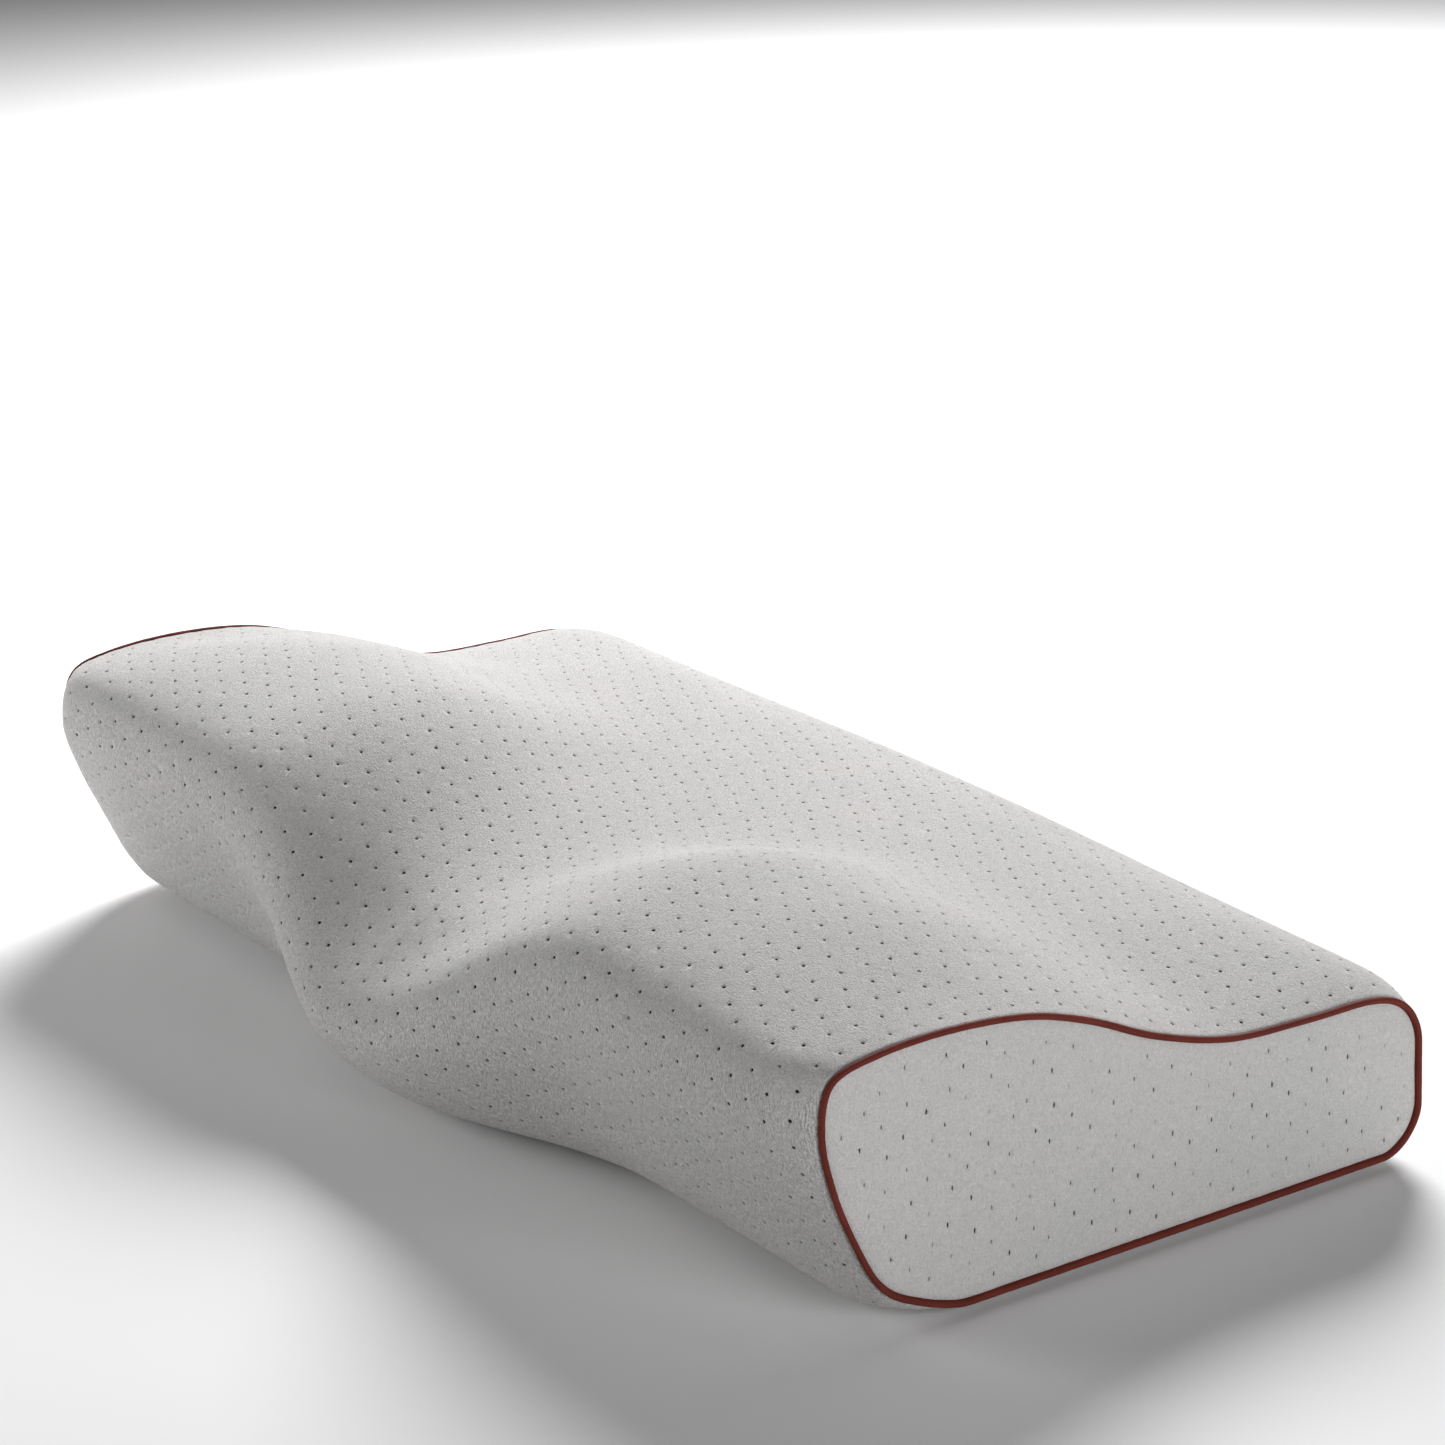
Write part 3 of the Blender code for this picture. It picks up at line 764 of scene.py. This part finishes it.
def cover_panel(name, which, node, puff, lookup):
    """The top (0) or bottom (1) panel, swollen, fuller by puff where it faces up, and gathered."""
    points, places, cells = panel_grid(which)
    normal = grid_normals(points)
    not_under = np.clip((normal[..., 2] + 0.55) / 0.25, 0, 1)
    from_end = np.clip((PIPING_X - np.abs(points[..., 0]) - PUFF_STARTS) / PUFF_REACH, 0, 1)
    crown = puff * np.sin(from_end * math.pi / 2) * np.clip(normal[..., 2], 0, 1)
    lift = swell_at(lookup, points) * not_under + crown + pucker(points, places)
    lift[:FOLD_ROWS] = lift[-FOLD_ROWS:] = 0
    points = points + normal * lift[..., None]
    points[..., 2] = np.maximum(points[..., 2], 0.0)
    stand_for(panel_mesh(name, points, places, cells, velour), node)


swell_found = swell_lookup()
cover_panel("cover_top", 0, "cover_top_panel", PUFF, swell_found)
cover_panel("cover_base", 1, "cover_bottom_panel", 0.0, swell_found)


# ---- end panels
def piping_centre(count):
    """The piping's centre line in its plane, evenly spaced, its unit normals and the outline's length."""
    even, normal, length = even_ring(PIPING_X, count)
    return even - normal * PIPING_INSET, normal, length


def inside_distance(points, ring):
    """Distance from each point to a closed ring of points, negative outside it."""
    best = np.full(len(points), 1e9)
    inside = np.zeros(len(points), bool)
    for a, b in zip(ring, np.roll(ring, -1, axis=0)):
        step = b - a
        t = np.clip(((points - a) @ step) / (step @ step), 0, 1)
        best = np.minimum(best, np.linalg.norm(points - a - t[:, None] * step, axis=1))
        crosses = (a[1] > points[:, 1]) != (b[1] > points[:, 1])
        with np.errstate(divide="ignore", invalid="ignore"):
            at = a[0] + (points[:, 1] - a[1]) / (b[1] - a[1]) * (b[0] - a[0])
        inside ^= crosses & (points[:, 0] < at)
    return np.where(inside, best, -best)


END_HOLE_PITCH = (0.0094, 0.0066)       # half the lattice's pitch along Y and Z
END_HOLE_START = 0.02
END_HOLE_SLANT = 0.0012
END_HOLE_DRIFT = 0.0006
END_HOLE_MARGIN = 0.0075
END_HOLE_SIZE = (0.00037, 0.00050)
END_HOLE_SHOWN = (0.30, 1.0)
SLIT = np.array((0.70, 2.00))   # a slit's half width and half height, by its size
# Each ring's size, how deep it sinks and how much painted shade darkens it, from a slit's lip inwards
SLIT_RINGS = ((1.60, 0.00006, 0.0), (0.90, 0.00050, 1.0), (0.0, 0.0010, 1.0))
END_EDGE_POINTS = 270
END_EDGE = 0.0006       # from the piping's centre line in to the panel's edge
END_ROWS = (0.0014, 0.0022, 0.0031, 0.0044)     # and to the rows of points inside it
END_FIELD = 0.0056      # and to the points of the flat field
END_FIELD_PITCH = 0.0029
CLEAR_OF_HOLE = 0.0016
END_X = PIPING_X - 0.0003
END_BACK_X = PIPING_X - 0.0021
END_BULGE, END_BULGE_REACH = 0.0017, 0.016
TUCK, TUCK_REACH = 0.0011, 0.0019       # where the panel turns in under the piping
RIPPLE, RIPPLE_REACH, RIPPLE_START = 0.00012, 0.006, 0.0015


def end_holes(centre):
    """The middles of an end panel's slits, on a slightly uneven lattice."""
    pitch_y, pitch_z = END_HOLE_PITCH
    holes = np.array([
        (END_HOLE_START + a * pitch_y + END_HOLE_SLANT * (b % 3), b * pitch_z)
        for a in range(-18, 19)
        for b in range(-2, 22)
        if (a + b) % 2 == 0
    ])
    holes += random.normal(0, END_HOLE_DRIFT, (len(holes), 2))
    return holes[inside_distance(holes, centre) > END_HOLE_MARGIN]


def end_field(centre, holes):
    """Points between the slits, in staggered rows."""
    ys = np.arange(centre[:, 0].min(), centre[:, 0].max(), END_FIELD_PITCH)
    zs = np.arange(centre[:, 1].min(), centre[:, 1].max(), END_FIELD_PITCH)
    field = np.array([(y + END_FIELD_PITCH / 2 * (k % 2), z) for k, z in enumerate(zs) for y in ys])
    field = field[inside_distance(field, centre) > END_FIELD]
    nearest = np.min(np.linalg.norm(field[:, None] - holes[None], axis=2), axis=1)
    return field[nearest > CLEAR_OF_HOLE]


def end_panel(name, side, node):
    """The flat end panel: it turns in under the piping, bulges a little and has pin-holes, darkened inside
    with painted shade.
    """
    centre, normal, _ = piping_centre(END_EDGE_POINTS)
    holes = end_holes(centre)
    flat = [centre - normal * inset for inset in (END_EDGE, *END_ROWS)]
    flat.append(end_field(centre, holes))
    plain = sum(map(len, flat))
    # painted shade for each point, darkest deep in a slit
    pit_shades, sinks = [np.zeros(plain)], [np.zeros(plain)]
    size = random.uniform(*END_HOLE_SIZE, len(holes))
    shown = random.uniform(*END_HOLE_SHOWN, len(holes))
    for scale, sink, painted_shade in SLIT_RINGS:
        for angle in np.radians(np.arange(8) * 45) if scale else [0.0]:
            ray = SLIT * scale * (math.cos(angle), math.sin(angle))
            flat.append(holes + size[:, None] * ray)
            pit_shades.append(shown * painted_shade)
            sinks.append(shown * sink)
    flat, pit_shades, sinks = np.vstack(flat), np.concatenate(pit_shades), np.concatenate(sinks)
    count = END_EDGE_POINTS
    edges = [(i, (i + 1) % count) for i in range(count)]
    plane, _, faces, origins, _, _ = delaunay_2d_cdt([Vector(p) for p in flat], edges, [], 1, 1e-7)
    if len(plane) != len(flat):
        raise RuntimeError("the end panel's points were merged")
    order = [group[0] for group in origins]
    plane = np.array([tuple(p) for p in plane])
    distance = inside_distance(plane, centre).clip(0.0)
    bulge = END_BULGE * (1 - np.exp(-distance / END_BULGE_REACH))
    tuck = TUCK * np.exp(-((distance / TUCK_REACH) ** 2))
    y, z = plane.T
    ripple = np.sin(np.arctan2(z - 0.05, y - 0.02) * 46 + 3 * np.sin(y * 90))
    ripple *= RIPPLE * np.exp(-distance / RIPPLE_REACH) * (1 - np.exp(-distance / RIPPLE_START))
    x = END_X + bulge - tuck - sinks[order] + ripple
    start = len(plane)
    rim = [order.index(i) for i in range(count)]
    back = np.column_stack([np.full(count, side * END_BACK_X), plane[rim]])
    vertices = np.vstack([np.column_stack([side * x, plane]), back])
    faces = [list(face) for face in faces]
    faces += [[rim[i], rim[j], start + j, start + i] for i, j in edges]
    faces.append(list(range(start, start + count)))
    thing = mesh_object(name, vertices, faces, velour_end)
    set_points(thing, "pit_shade", np.concatenate([pit_shades[order], np.zeros(count)]))
    set_points(thing, "upright", np.ones(len(vertices)))
    set_cloth(thing, vertices[:, 1:])
    stand_for(thing, node)


end_panel("cover_end_right", 1, "cover_end_panel_right")
end_panel("cover_end_left", -1, "cover_end_panel_left")


# ---- foam and liner, inside the cover
INNER_STEP = 0.007
ZIP_ROOM = 0.0027       # how much the foam and liner keep back from the zip
ZIP_ROOM_REACH = 0.014
REAR_Y = 0.13
LINER_THICKNESS = 0.0006
FOAM_ROUND = 0.996      # size of the foam's end rings, for a soft rim


def inner_rings(depth, end):
    """Rings of (x, y, z), depth inside the cover's face, evenly spaced along X and round the girth."""
    count = round(GIRTH / INNER_STEP)
    rings = []
    for x in np.linspace(-end, end, round(2 * end / INNER_STEP) + 1):
        even, normal, _ = even_ring(x, count)
        y, z = even.T
        zip_room = ZIP_ROOM * np.exp(-(((z - ZIP_Z) / ZIP_ROOM_REACH) ** 4)) * (y > REAR_Y)
        rings.append(np.column_stack([np.full(count, x), even - normal * (depth + zip_room)[:, None]]))
    return np.array(rings)


def tube_object(name, stack, material):
    """A closed body through rings of points, the same number in each, with flat ends."""
    index = numbers(*stack.shape[:2])
    return mesh_object(name, stack.reshape(-1, 3), tube_faces(index) + end_faces(index), material)


def foam_material():
    """Cream moulded foam with fine cells."""
    n = Nodes("memory_foam")
    cells = n.noise(n.place(), 2600, 2.0, 0.6)
    patch = n.noise(n.place(), 25, 3.0, 0.5)
    base = n.mix(n.spread(patch, 0.3, 0.7), (0.84, 0.80, 0.68), (0.88, 0.85, 0.75))
    tone = n.spread(cells, 0.25, 0.75, 0.86, 1.05)
    return n.finish(n.scaled(base, tone), n.vary(cells, 0.85, 0.98), n.bump(cells, 0.0004, 0.6))


def liner_material():
    """Thin white knit."""
    n = Nodes("liner_knit")
    wales = n.wave(n.place(), BANDS / 0.0011, "X", 0.5, 1.0, 500)
    courses = n.wave(n.place(), BANDS / 0.0013, "Y", 0.5, 1.0, 500)
    fuzz = n.noise(n.place(), 1400, 2.0, 0.6)
    height = n.plus(n.times(wales, courses), n.times(fuzz, 0.5))
    tone = n.spread(height, 0.0, 1.2, 0.86, 1.03)
    roughness = n.vary(fuzz, 0.85, 0.95)
    return n.finish(n.scaled(n.plain((0.80, 0.80, 0.77)), tone), roughness, n.bump(height, 0.0002, 0.5))


memory_foam = foam_material()
liner_knit = liner_material()
foam_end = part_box("foam_core")[1].x
liner_inner_x, liner_outer_x = (corner.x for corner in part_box("liner_end_right"))


def foam_block():
    """The foam, its rim a little rounded and its ends closed by smaller and smaller rings."""
    rings = inner_rings(COVER + LINER + 3 * GAP, foam_end - GAP)
    caps = []
    for ring in (rings[0], rings[-1]):
        middle = ring.mean(axis=0)
        ring[:] = middle + (ring - middle) * FOAM_ROUND
        caps.append([middle + (ring - middle) * share for share in (0.9, 0.75, 0.5, 0.25)])
    block = tube_object("foam_block", np.array([*caps[0][::-1], *rings, *caps[1]]), memory_foam)
    stand_for(block, "foam_core")


def liner_bag():
    """The knitted liner: a long sleeve, open at its two ends, and the pieces that close it."""
    outer = inner_rings(COVER + 2 * GAP, foam_end)
    inner = inner_rings(COVER + 2 * GAP + LINER_THICKNESS, foam_end)
    rows, count = outer.shape[:2]
    outer_index, inner_index = numbers(rows, count), numbers(rows, count, rows * count)
    faces = tube_faces(outer_index) + [face[::-1] for face in tube_faces(inner_index)]
    for end in (0, -1):
        faces += tube_faces(np.array([outer_index[end], inner_index[end]]))
    sleeve = mesh_object("liner_sleeve", np.vstack([*outer, *inner]), faces, liner_knit)
    stand_for(sleeve, "liner_body")
    ring = outer[-1][:, 1:]
    middle = ring.mean(axis=0)
    # Each ring's share of the sleeve's end, and its place along X
    profile = [(share, liner_outer_x) for share in (0.25, 0.5, 0.75, 0.9)]
    profile += [(0.985, liner_outer_x - 0.0001), (1.0, (liner_inner_x + liner_outer_x) / 2)]
    profile += [(0.985, liner_inner_x), (0.25, liner_inner_x)]
    for side, name, node in ((-1, "liner_end_l", "liner_end_left"), (1, "liner_end_r", "liner_end_right")):
        stack = [
            np.column_stack([np.full(count, side * x), middle + (ring - middle) * share])
            for share, x in profile
        ]
        stand_for(tube_object(name, np.array(stack), liner_knit), node)


foam_block()
liner_bag()


# ---- piping
def tape_material():
    """Red-brown bias tape: a fine diagonal weave, and slightly lighter in patches."""
    n = Nodes("bias_tape")
    weave, cross = (
        n.wave(n.place("Cloth", (1, way, 1)), 0.7 * BANDS / 0.00062, "DIAGONAL", 0.6, 1.0, 400)
        for way in (1, -1)
    )
    threads = n.math("MAXIMUM", weave, cross)
    fuzz = n.noise(n.place(), 900, 2.0, 0.6)
    patch = n.noise(n.place(), 60, 3.0, 0.5)
    tone = n.times(n.spread(threads, 0.0, 1.0, 0.72, 1.12), n.vary(fuzz, 0.9, 1.1))
    base = n.mix(n.spread(patch, 0.3, 0.7), (0.135, 0.024, 0.017), (0.170, 0.032, 0.022))
    height = n.plus(threads, n.times(fuzz, 0.6))
    n.shader.inputs["Specular IOR Level"].default_value = 0.15
    return n.finish(n.scaled(base, tone), n.vary(fuzz, 0.66, 0.84), n.bump(height, 0.0002, 0.6))


def cord_material():
    """Undyed cotton filler cord: its twist shows as slanted ridges."""
    n = Nodes("cotton_cord")
    twist = n.wave(n.place(), 260, "DIAGONAL", 0.4, 1.0, 300)
    fuzz = n.noise(n.place(), 1500, 2.0, 0.6)
    tone = n.times(n.spread(twist, 0.0, 1.0, 0.75, 1.05), n.vary(fuzz, 0.9, 1.05))
    return n.finish(n.scaled(n.plain((0.72, 0.66, 0.55)), tone), 0.9, n.bump(twist, 0.0003, 0.6))


bias_tape = tape_material()
cotton_cord = cord_material()


def refinish(node, material, bevel):
    """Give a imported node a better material, and soft edges as wide as bevel."""
    thing = bpy.data.objects[node]
    for slot in thing.material_slots:
        slot.material = material
    edges = thing.modifiers.new("soft_edges", "BEVEL")
    edges.width = bevel
    edges.segments = 3
    edges.limit_method = "ANGLE"
    edges.angle_limit = math.radians(35)


PIPING_RADIUS = 0.00128
PIPING_OPENS = 40       # degrees the tape's seam allowance slants into the pillow
PIPING_WRAP = 155       # half the tape's way round the cord, in degrees
PIPING_POINTS = 640
PROFILE_STEP = 0.0005   # between two points of the tape's profile, as the weave sees it
CORD_RADIUS = 0.00078
CORD_TWIST = 0.0042     # one turn of the cord's three strands
CORD_POINTS, CORD_SIDES = 560, 12


def piping_cord(name, side, node):
    """The filler cord inside the tape: three strands twisted together."""
    centre, normal, length = piping_centre(CORD_POINTS)
    along = np.arange(CORD_POINTS) / CORD_POINTS * length
    turns = round(length / CORD_TWIST) * 2 * math.pi / length
    rings = []
    for angle in 2 * math.pi * np.arange(CORD_SIDES) / CORD_SIDES:
        radius = CORD_RADIUS * (1 + 0.13 * np.cos(3 * (angle - turns * along)))
        yz = centre + normal * (radius * math.cos(angle))[:, None]
        rings.append(np.column_stack([side * (PIPING_X + radius * math.sin(angle)), yz]))
    stack = np.array(rings).transpose(1, 0, 2)
    index = numbers(CORD_POINTS, CORD_SIDES)
    faces = tube_faces(np.vstack([index, index[:1]]))
    thing = mesh_object(name, stack.reshape(-1, 3), faces, cotton_cord)
    stand_for(thing, node)


def piping(name, side, node):
    """The tape sewn round the cord, slightly uneven, with its seam allowance turned into the pillow."""
    centre, normal, length = piping_centre(PIPING_POINTS)
    along = np.arange(PIPING_POINTS) / PIPING_POINTS * length
    uneven = 1 + 0.016 * np.sin(along * 2 * math.pi / 0.017 + 2 * np.sin(along * 40))
    uneven += 0.010 * np.sin(along * 2 * math.pi / 0.0062 + side)
    profile = [(angle, uneven) for angle in np.linspace(-PIPING_WRAP, PIPING_WRAP, 20)]
    profile += [(168, 1.5), (192, 1.5)]
    stack, cloth = [], []
    for k, (angle, share) in enumerate(profile):
        turn = math.radians(angle + PIPING_OPENS)
        radius = PIPING_RADIUS * share * np.ones(PIPING_POINTS)
        yz = centre + normal * (radius * math.cos(turn))[:, None]
        stack.append(np.column_stack([side * (PIPING_X + radius * math.sin(turn)), yz]))
        cloth.append(np.column_stack([along, np.full(PIPING_POINTS, k * PROFILE_STEP)]))
    index = numbers(len(profile), PIPING_POINTS)
    faces = tube_faces(np.vstack([index, index[:1]]))
    thing = mesh_object(name, np.vstack(stack), faces, bias_tape)
    set_cloth(thing, np.vstack(cloth), length)
    stand_for(thing, node)


piping_cord("piping_core_right", 1, "piping_cord_right")
piping_cord("piping_core_left", -1, "piping_cord_left")
piping("piping_right", 1, "piping_tape_right")
piping("piping_left", -1, "piping_tape_left")


# ---- zip
def woven_material():
    """Herringbone polyester tape."""
    n = Nodes("zip_tape")
    weft = n.wave(n.place(), BANDS / 0.0006, "X", 0.4, 1.0, 500)
    warp = n.wave(n.place(), BANDS / 0.0009, "Z", 0.3, 1.0, 500)
    slant = n.wave(n.place(None, (1, 1, 0.8)), 900, "DIAGONAL", 0.3)
    height = n.plus(n.math("MAXIMUM", weft, warp), n.times(slant, 0.5))
    fuzz = n.noise(n.place(), 2200, 2.0, 0.6)
    tone = n.times(n.spread(height, 0.2, 1.5, 0.74, 1.06), n.vary(fuzz, 0.93, 1.05))
    return n.finish(
        n.scaled(n.plain((0.50, 0.49, 0.48)), tone),
        n.vary(fuzz, 0.72, 0.9),
        n.bump(height, 0.00025, 0.7),
        sheen_weight=0.1,
        sheen_roughness=0.5,
    )


def nylon_material():
    """Smooth drawn monofilament with slight shade changes between turns."""
    n = Nodes("zip_nylon")
    streak = n.noise(n.place(None, (2200, 300, 300)), 1.0, 2.0)
    tone = n.vary(streak, 0.92, 1.04)
    return n.finish(
        n.scaled(n.plain((0.56, 0.55, 0.54)), tone),
        n.vary(streak, 0.26, 0.38),
        n.bump(streak, 0.00004, 0.5),
    )


def metal_material():
    """Nickel-plated die-cast zinc: fine brushing, small scratches, duller in patches."""
    n = Nodes("zip_metal")
    brushed = n.noise(n.place(None, (300, 9000, 9000)), 1.0, 3.0, 0.6)
    worn = n.noise(n.place(), 700, 3.0, 0.6)
    scratch = n.noise(n.place(None, (5200, 900, 1500)), 1.0, 4.0, 0.7, 0.8)
    lines = n.spread(scratch, 0.60, 0.66)
    base = n.mix(n.spread(worn, 0.4, 0.65), (0.63, 0.62, 0.60), (0.50, 0.49, 0.47))
    rough = n.plus(n.vary(brushed, 0.20, 0.34), n.times(lines, 0.15))
    height = n.math("SUBTRACT", n.times(brushed, 0.3), n.times(lines, 0.4))
    return n.finish(base, rough, n.bump(height, 0.00003, 0.6), metallic=1.0)


def thread_material():
    """Twisted polyester sewing thread."""
    n = Nodes("thread")
    twist = n.wave(n.place(), 900, "DIAGONAL", 0.3)
    fuzz = n.noise(n.place(), 4000, 2.0)
    tone = n.times(n.spread(twist, 0.0, 1.0, 0.80, 1.05), n.vary(fuzz, 0.92, 1.05))
    return n.finish(n.scaled(n.plain((0.58, 0.57, 0.56)), tone), 0.62, n.bump(twist, 0.0001, 0.6))


woven = woven_material()
nylon = nylon_material()
metal = metal_material()
thread = thread_material()
for node, material, bevel in (
    ("zip_tape_upper", woven, 0.0001),
    ("zip_tape_lower", woven, 0.0001),
    ("zip_top_stop_upper", metal, 0.00055),
    ("zip_top_stop_lower", metal, 0.00055),
    ("zip_bottom_stop", metal, 0.00055),
    ("zip_slider", metal, 0.00022),
    ("zip_pull", metal, 0.00015),
):
    refinish(node, material, bevel)


def tube(line, radius, sides):
    """Points and faces of a tube along a line, with capped ends."""
    forward = np.gradient(line, axis=0)
    forward /= np.linalg.norm(forward, axis=1, keepdims=True)
    out = np.cross(forward, (0.31, 0.17, 0.93))
    out /= np.linalg.norm(out, axis=1, keepdims=True)
    other = np.cross(forward, out)
    angles = np.arange(sides) * 2 * math.pi / sides
    radius = np.broadcast_to(radius, len(line))[:, None, None]
    circle = np.cos(angles)[None, :, None] * out[:, None] + np.sin(angles)[None, :, None] * other[:, None]
    points = line[:, None] + radius * circle
    index = numbers(len(line), sides)
    return points.reshape(-1, 3), tube_faces(index) + end_faces(index)


COIL_PITCH = 0.0012
WIRE = 0.00028          # the monofilament's radius
HEADS_PAST = 0.0004     # how far each half's heads reach over the zip's middle
TURN_POINTS = 14


def coil(name, up, node):
    """One half of the chain: a flattened helix of monofilament sewn to the tape."""
    low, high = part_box(node)
    turns = round((high.x - low.x) / COIL_PITCH) - 1
    t = np.arange(turns * TURN_POINTS + 1) / TURN_POINTS
    phase = 2 * math.pi * t
    far = max(abs(high.z - ZIP_Z), abs(low.z - ZIP_Z))
    reach = (far + HEADS_PAST) / 2 - WIRE
    centre = (far - HEADS_PAST) / 2
    depth = (high.y - low.y) / 2 - WIRE
    start = (low.x + high.x) / 2 - turns * COIL_PITCH / 2 + (COIL_PITCH / 4) * up
    line = np.column_stack([
        start + COIL_PITCH * (t - 0.10 * np.sin(phase)),
        (low.y + high.y) / 2 + depth * np.sin(phase),
        ZIP_Z + up * (centre - reach * np.cos(phase)),
    ])
    stand_for(mesh_object(name, *tube(line, WIRE, 6), nylon), node)


coil("zip_coil_top", 1, "zip_coil_upper")
coil("zip_coil_base", -1, "zip_coil_lower")

STITCH_PITCH = 0.0031
STITCH_LENGTH = 0.0025
STITCH_RADIUS = 0.00019
STITCH_SINK = 0.00002
STITCH_EDGE = 0.0019    # from the opening's edge to the row of stitches
ROW_PAST = 0.002        # how far the rows run past the opening's ends
TACK_LENGTH = 0.0014
TACK_RADIUS = 0.00024
TACK_PAST = 0.0046      # from the opening's ends to the bar tacks
TACK_ROW = 0.0008
TACKS = 13              # stitches in a bar tack's row


def stitch(middle, direction, length, radius):
    """One stitch on the rear: a short thread that dips into the cloth at both ends."""
    t = np.linspace(-1, 1, 7)
    dip = 1 - t**4 * 2.4
    line = middle + np.outer(t * length / 2, direction) + np.outer(dip * radius * 0.8, (0.0, 1.0, 0.0))
    return tube(line, radius * np.array([0.55, 0.9, 1.0, 1.0, 1.0, 0.9, 0.55]), 6)


def gather(name, parts, material):
    """Many small meshes as one piece that stands for no node."""
    vertices, faces, start = [], [], 0
    for points, part_faces in parts:
        vertices.append(points)
        faces += [[i + start for i in face] for face in part_faces]
        start += len(points)
    thing = mesh_object(name, np.vstack(vertices), faces, material)
    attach(thing, "pillow")


def on_rear(x, z):
    """A stitch's place on the rear band."""
    return x, REAR_CORNER[0, 0] + REAR_CORNER[0, 2] * fullness(x) - MIDDLE_Y - STITCH_SINK, z


def topstitching():
    """A row of stitches along each side of the opening, and bar tacks at its ends."""
    rows, tacks = [], []
    for k in range(round(2 * (SLOT_END + ROW_PAST) / STITCH_PITCH) + 1):
        x = -SLOT_END - ROW_PAST + k * STITCH_PITCH
        direction = (1.0, 0.0, 0.02 * math.sin(k * 1.7))
        for up in (1, -1):
            z = ZIP_Z + up * (SLOT_HALF + STITCH_EDGE) + 0.00008 * math.sin(k * 2.3)
            rows.append(stitch(on_rear(x, z), direction, STITCH_LENGTH, STITCH_RADIUS))
    half = SLOT_HALF + 0.9 * STITCH_EDGE
    for side in (-1, 1):
        for k in range(TACKS):
            for row in (0, 1):
                x = side * (SLOT_END + TACK_PAST + TACK_ROW * row)
                z = ZIP_Z - half + k * 2 * half / (TACKS - 1) + 0.0003 * row
                tacks.append(stitch(on_rear(x, z), (0.0, 0.0, 1.0), TACK_LENGTH, TACK_RADIUS))
    gather("stitching_zip", rows, thread)
    gather("bar_tacks", tacks, thread)


topstitching()


# ---- light, floor and camera
# Each light's name, its turn from X and its rise in degrees, and its power in watts
LIGHTS = (
    ("key_rear", 135, 35, 66.0),
    ("fill_left", 225, 15, 18.0),
    ("fill_right", 0, 15, 14.5),
)
LIGHT_SIZE = 1.0
LIGHT_DISTANCE = 2.0
WORLD_STRENGTH = 0.06
FLOOR_HALF = 9
FLOOR_Z = -0.0002


def studio():
    """The world, the floor and the lights."""
    scene = bpy.context.scene
    world = bpy.data.worlds.new("studio")
    world.use_nodes = True
    background = world.node_tree.nodes["Background"]
    background.inputs["Color"].default_value = (1.0, 1.0, 1.0, 1.0)
    background.inputs["Strength"].default_value = WORLD_STRENGTH
    scene.world = world
    scene.view_settings.view_transform = "Standard"
    n = Nodes("floor")
    tone = n.vary(n.noise(n.place(), 3.0, 2.0), 0.99, 1.0)
    white = n.finish(n.scaled(n.plain((0.93, 0.93, 0.93)), tone), 0.9)
    corners = [(x * FLOOR_HALF, y * FLOOR_HALF, FLOOR_Z) for x, y in ((-1, -1), (1, -1), (1, 1), (-1, 1))]
    mesh_object("floor", corners, [[0, 1, 2, 3]], white, False)
    for name, round_from_x, upwards, power in LIGHTS:
        turn, rise = math.radians(round_from_x), math.radians(upwards)
        away = Vector((math.cos(turn) * math.cos(rise), math.sin(turn) * math.cos(rise), math.sin(rise)))
        light = bpy.data.lights.new(name, "AREA")
        light.shape = "DISK"
        light.size = LIGHT_SIZE
        light.energy = power
        thing = bpy.data.objects.new(name, light)
        thing.location = away * LIGHT_DISTANCE
        thing.rotation_euler = away.to_track_quat("Z", "Y").to_euler()
        scene.collection.objects.link(thing)


CAMERA_AZIMUTH = 57.00
CAMERA_DOWN = 19.31
CAMERA_ROLL = -2.54
CAMERA_PLACE = (1.589, -1.000, 0.792)
CAMERA_LENS = 119.8


def make_camera():
    """The photograph's camera: turned from the Y axis, tilted down and rolled a little."""
    yaw, down, roll = (math.radians(a) for a in (CAMERA_AZIMUTH, CAMERA_DOWN, CAMERA_ROLL))
    turned = Matrix.Rotation(yaw, 4, "Z") @ Matrix.Rotation(math.pi / 2 - down, 4, "X")
    turned = turned @ Matrix.Rotation(roll, 4, "Z")
    data = bpy.data.cameras.new("camera")
    data.lens = CAMERA_LENS
    data.sensor_width = 36.0
    camera = bpy.data.objects.new("camera", data)
    camera.matrix_world = Matrix.Translation(CAMERA_PLACE) @ turned
    bpy.context.scene.collection.objects.link(camera)
    bpy.context.scene.camera = camera


studio()
make_camera()
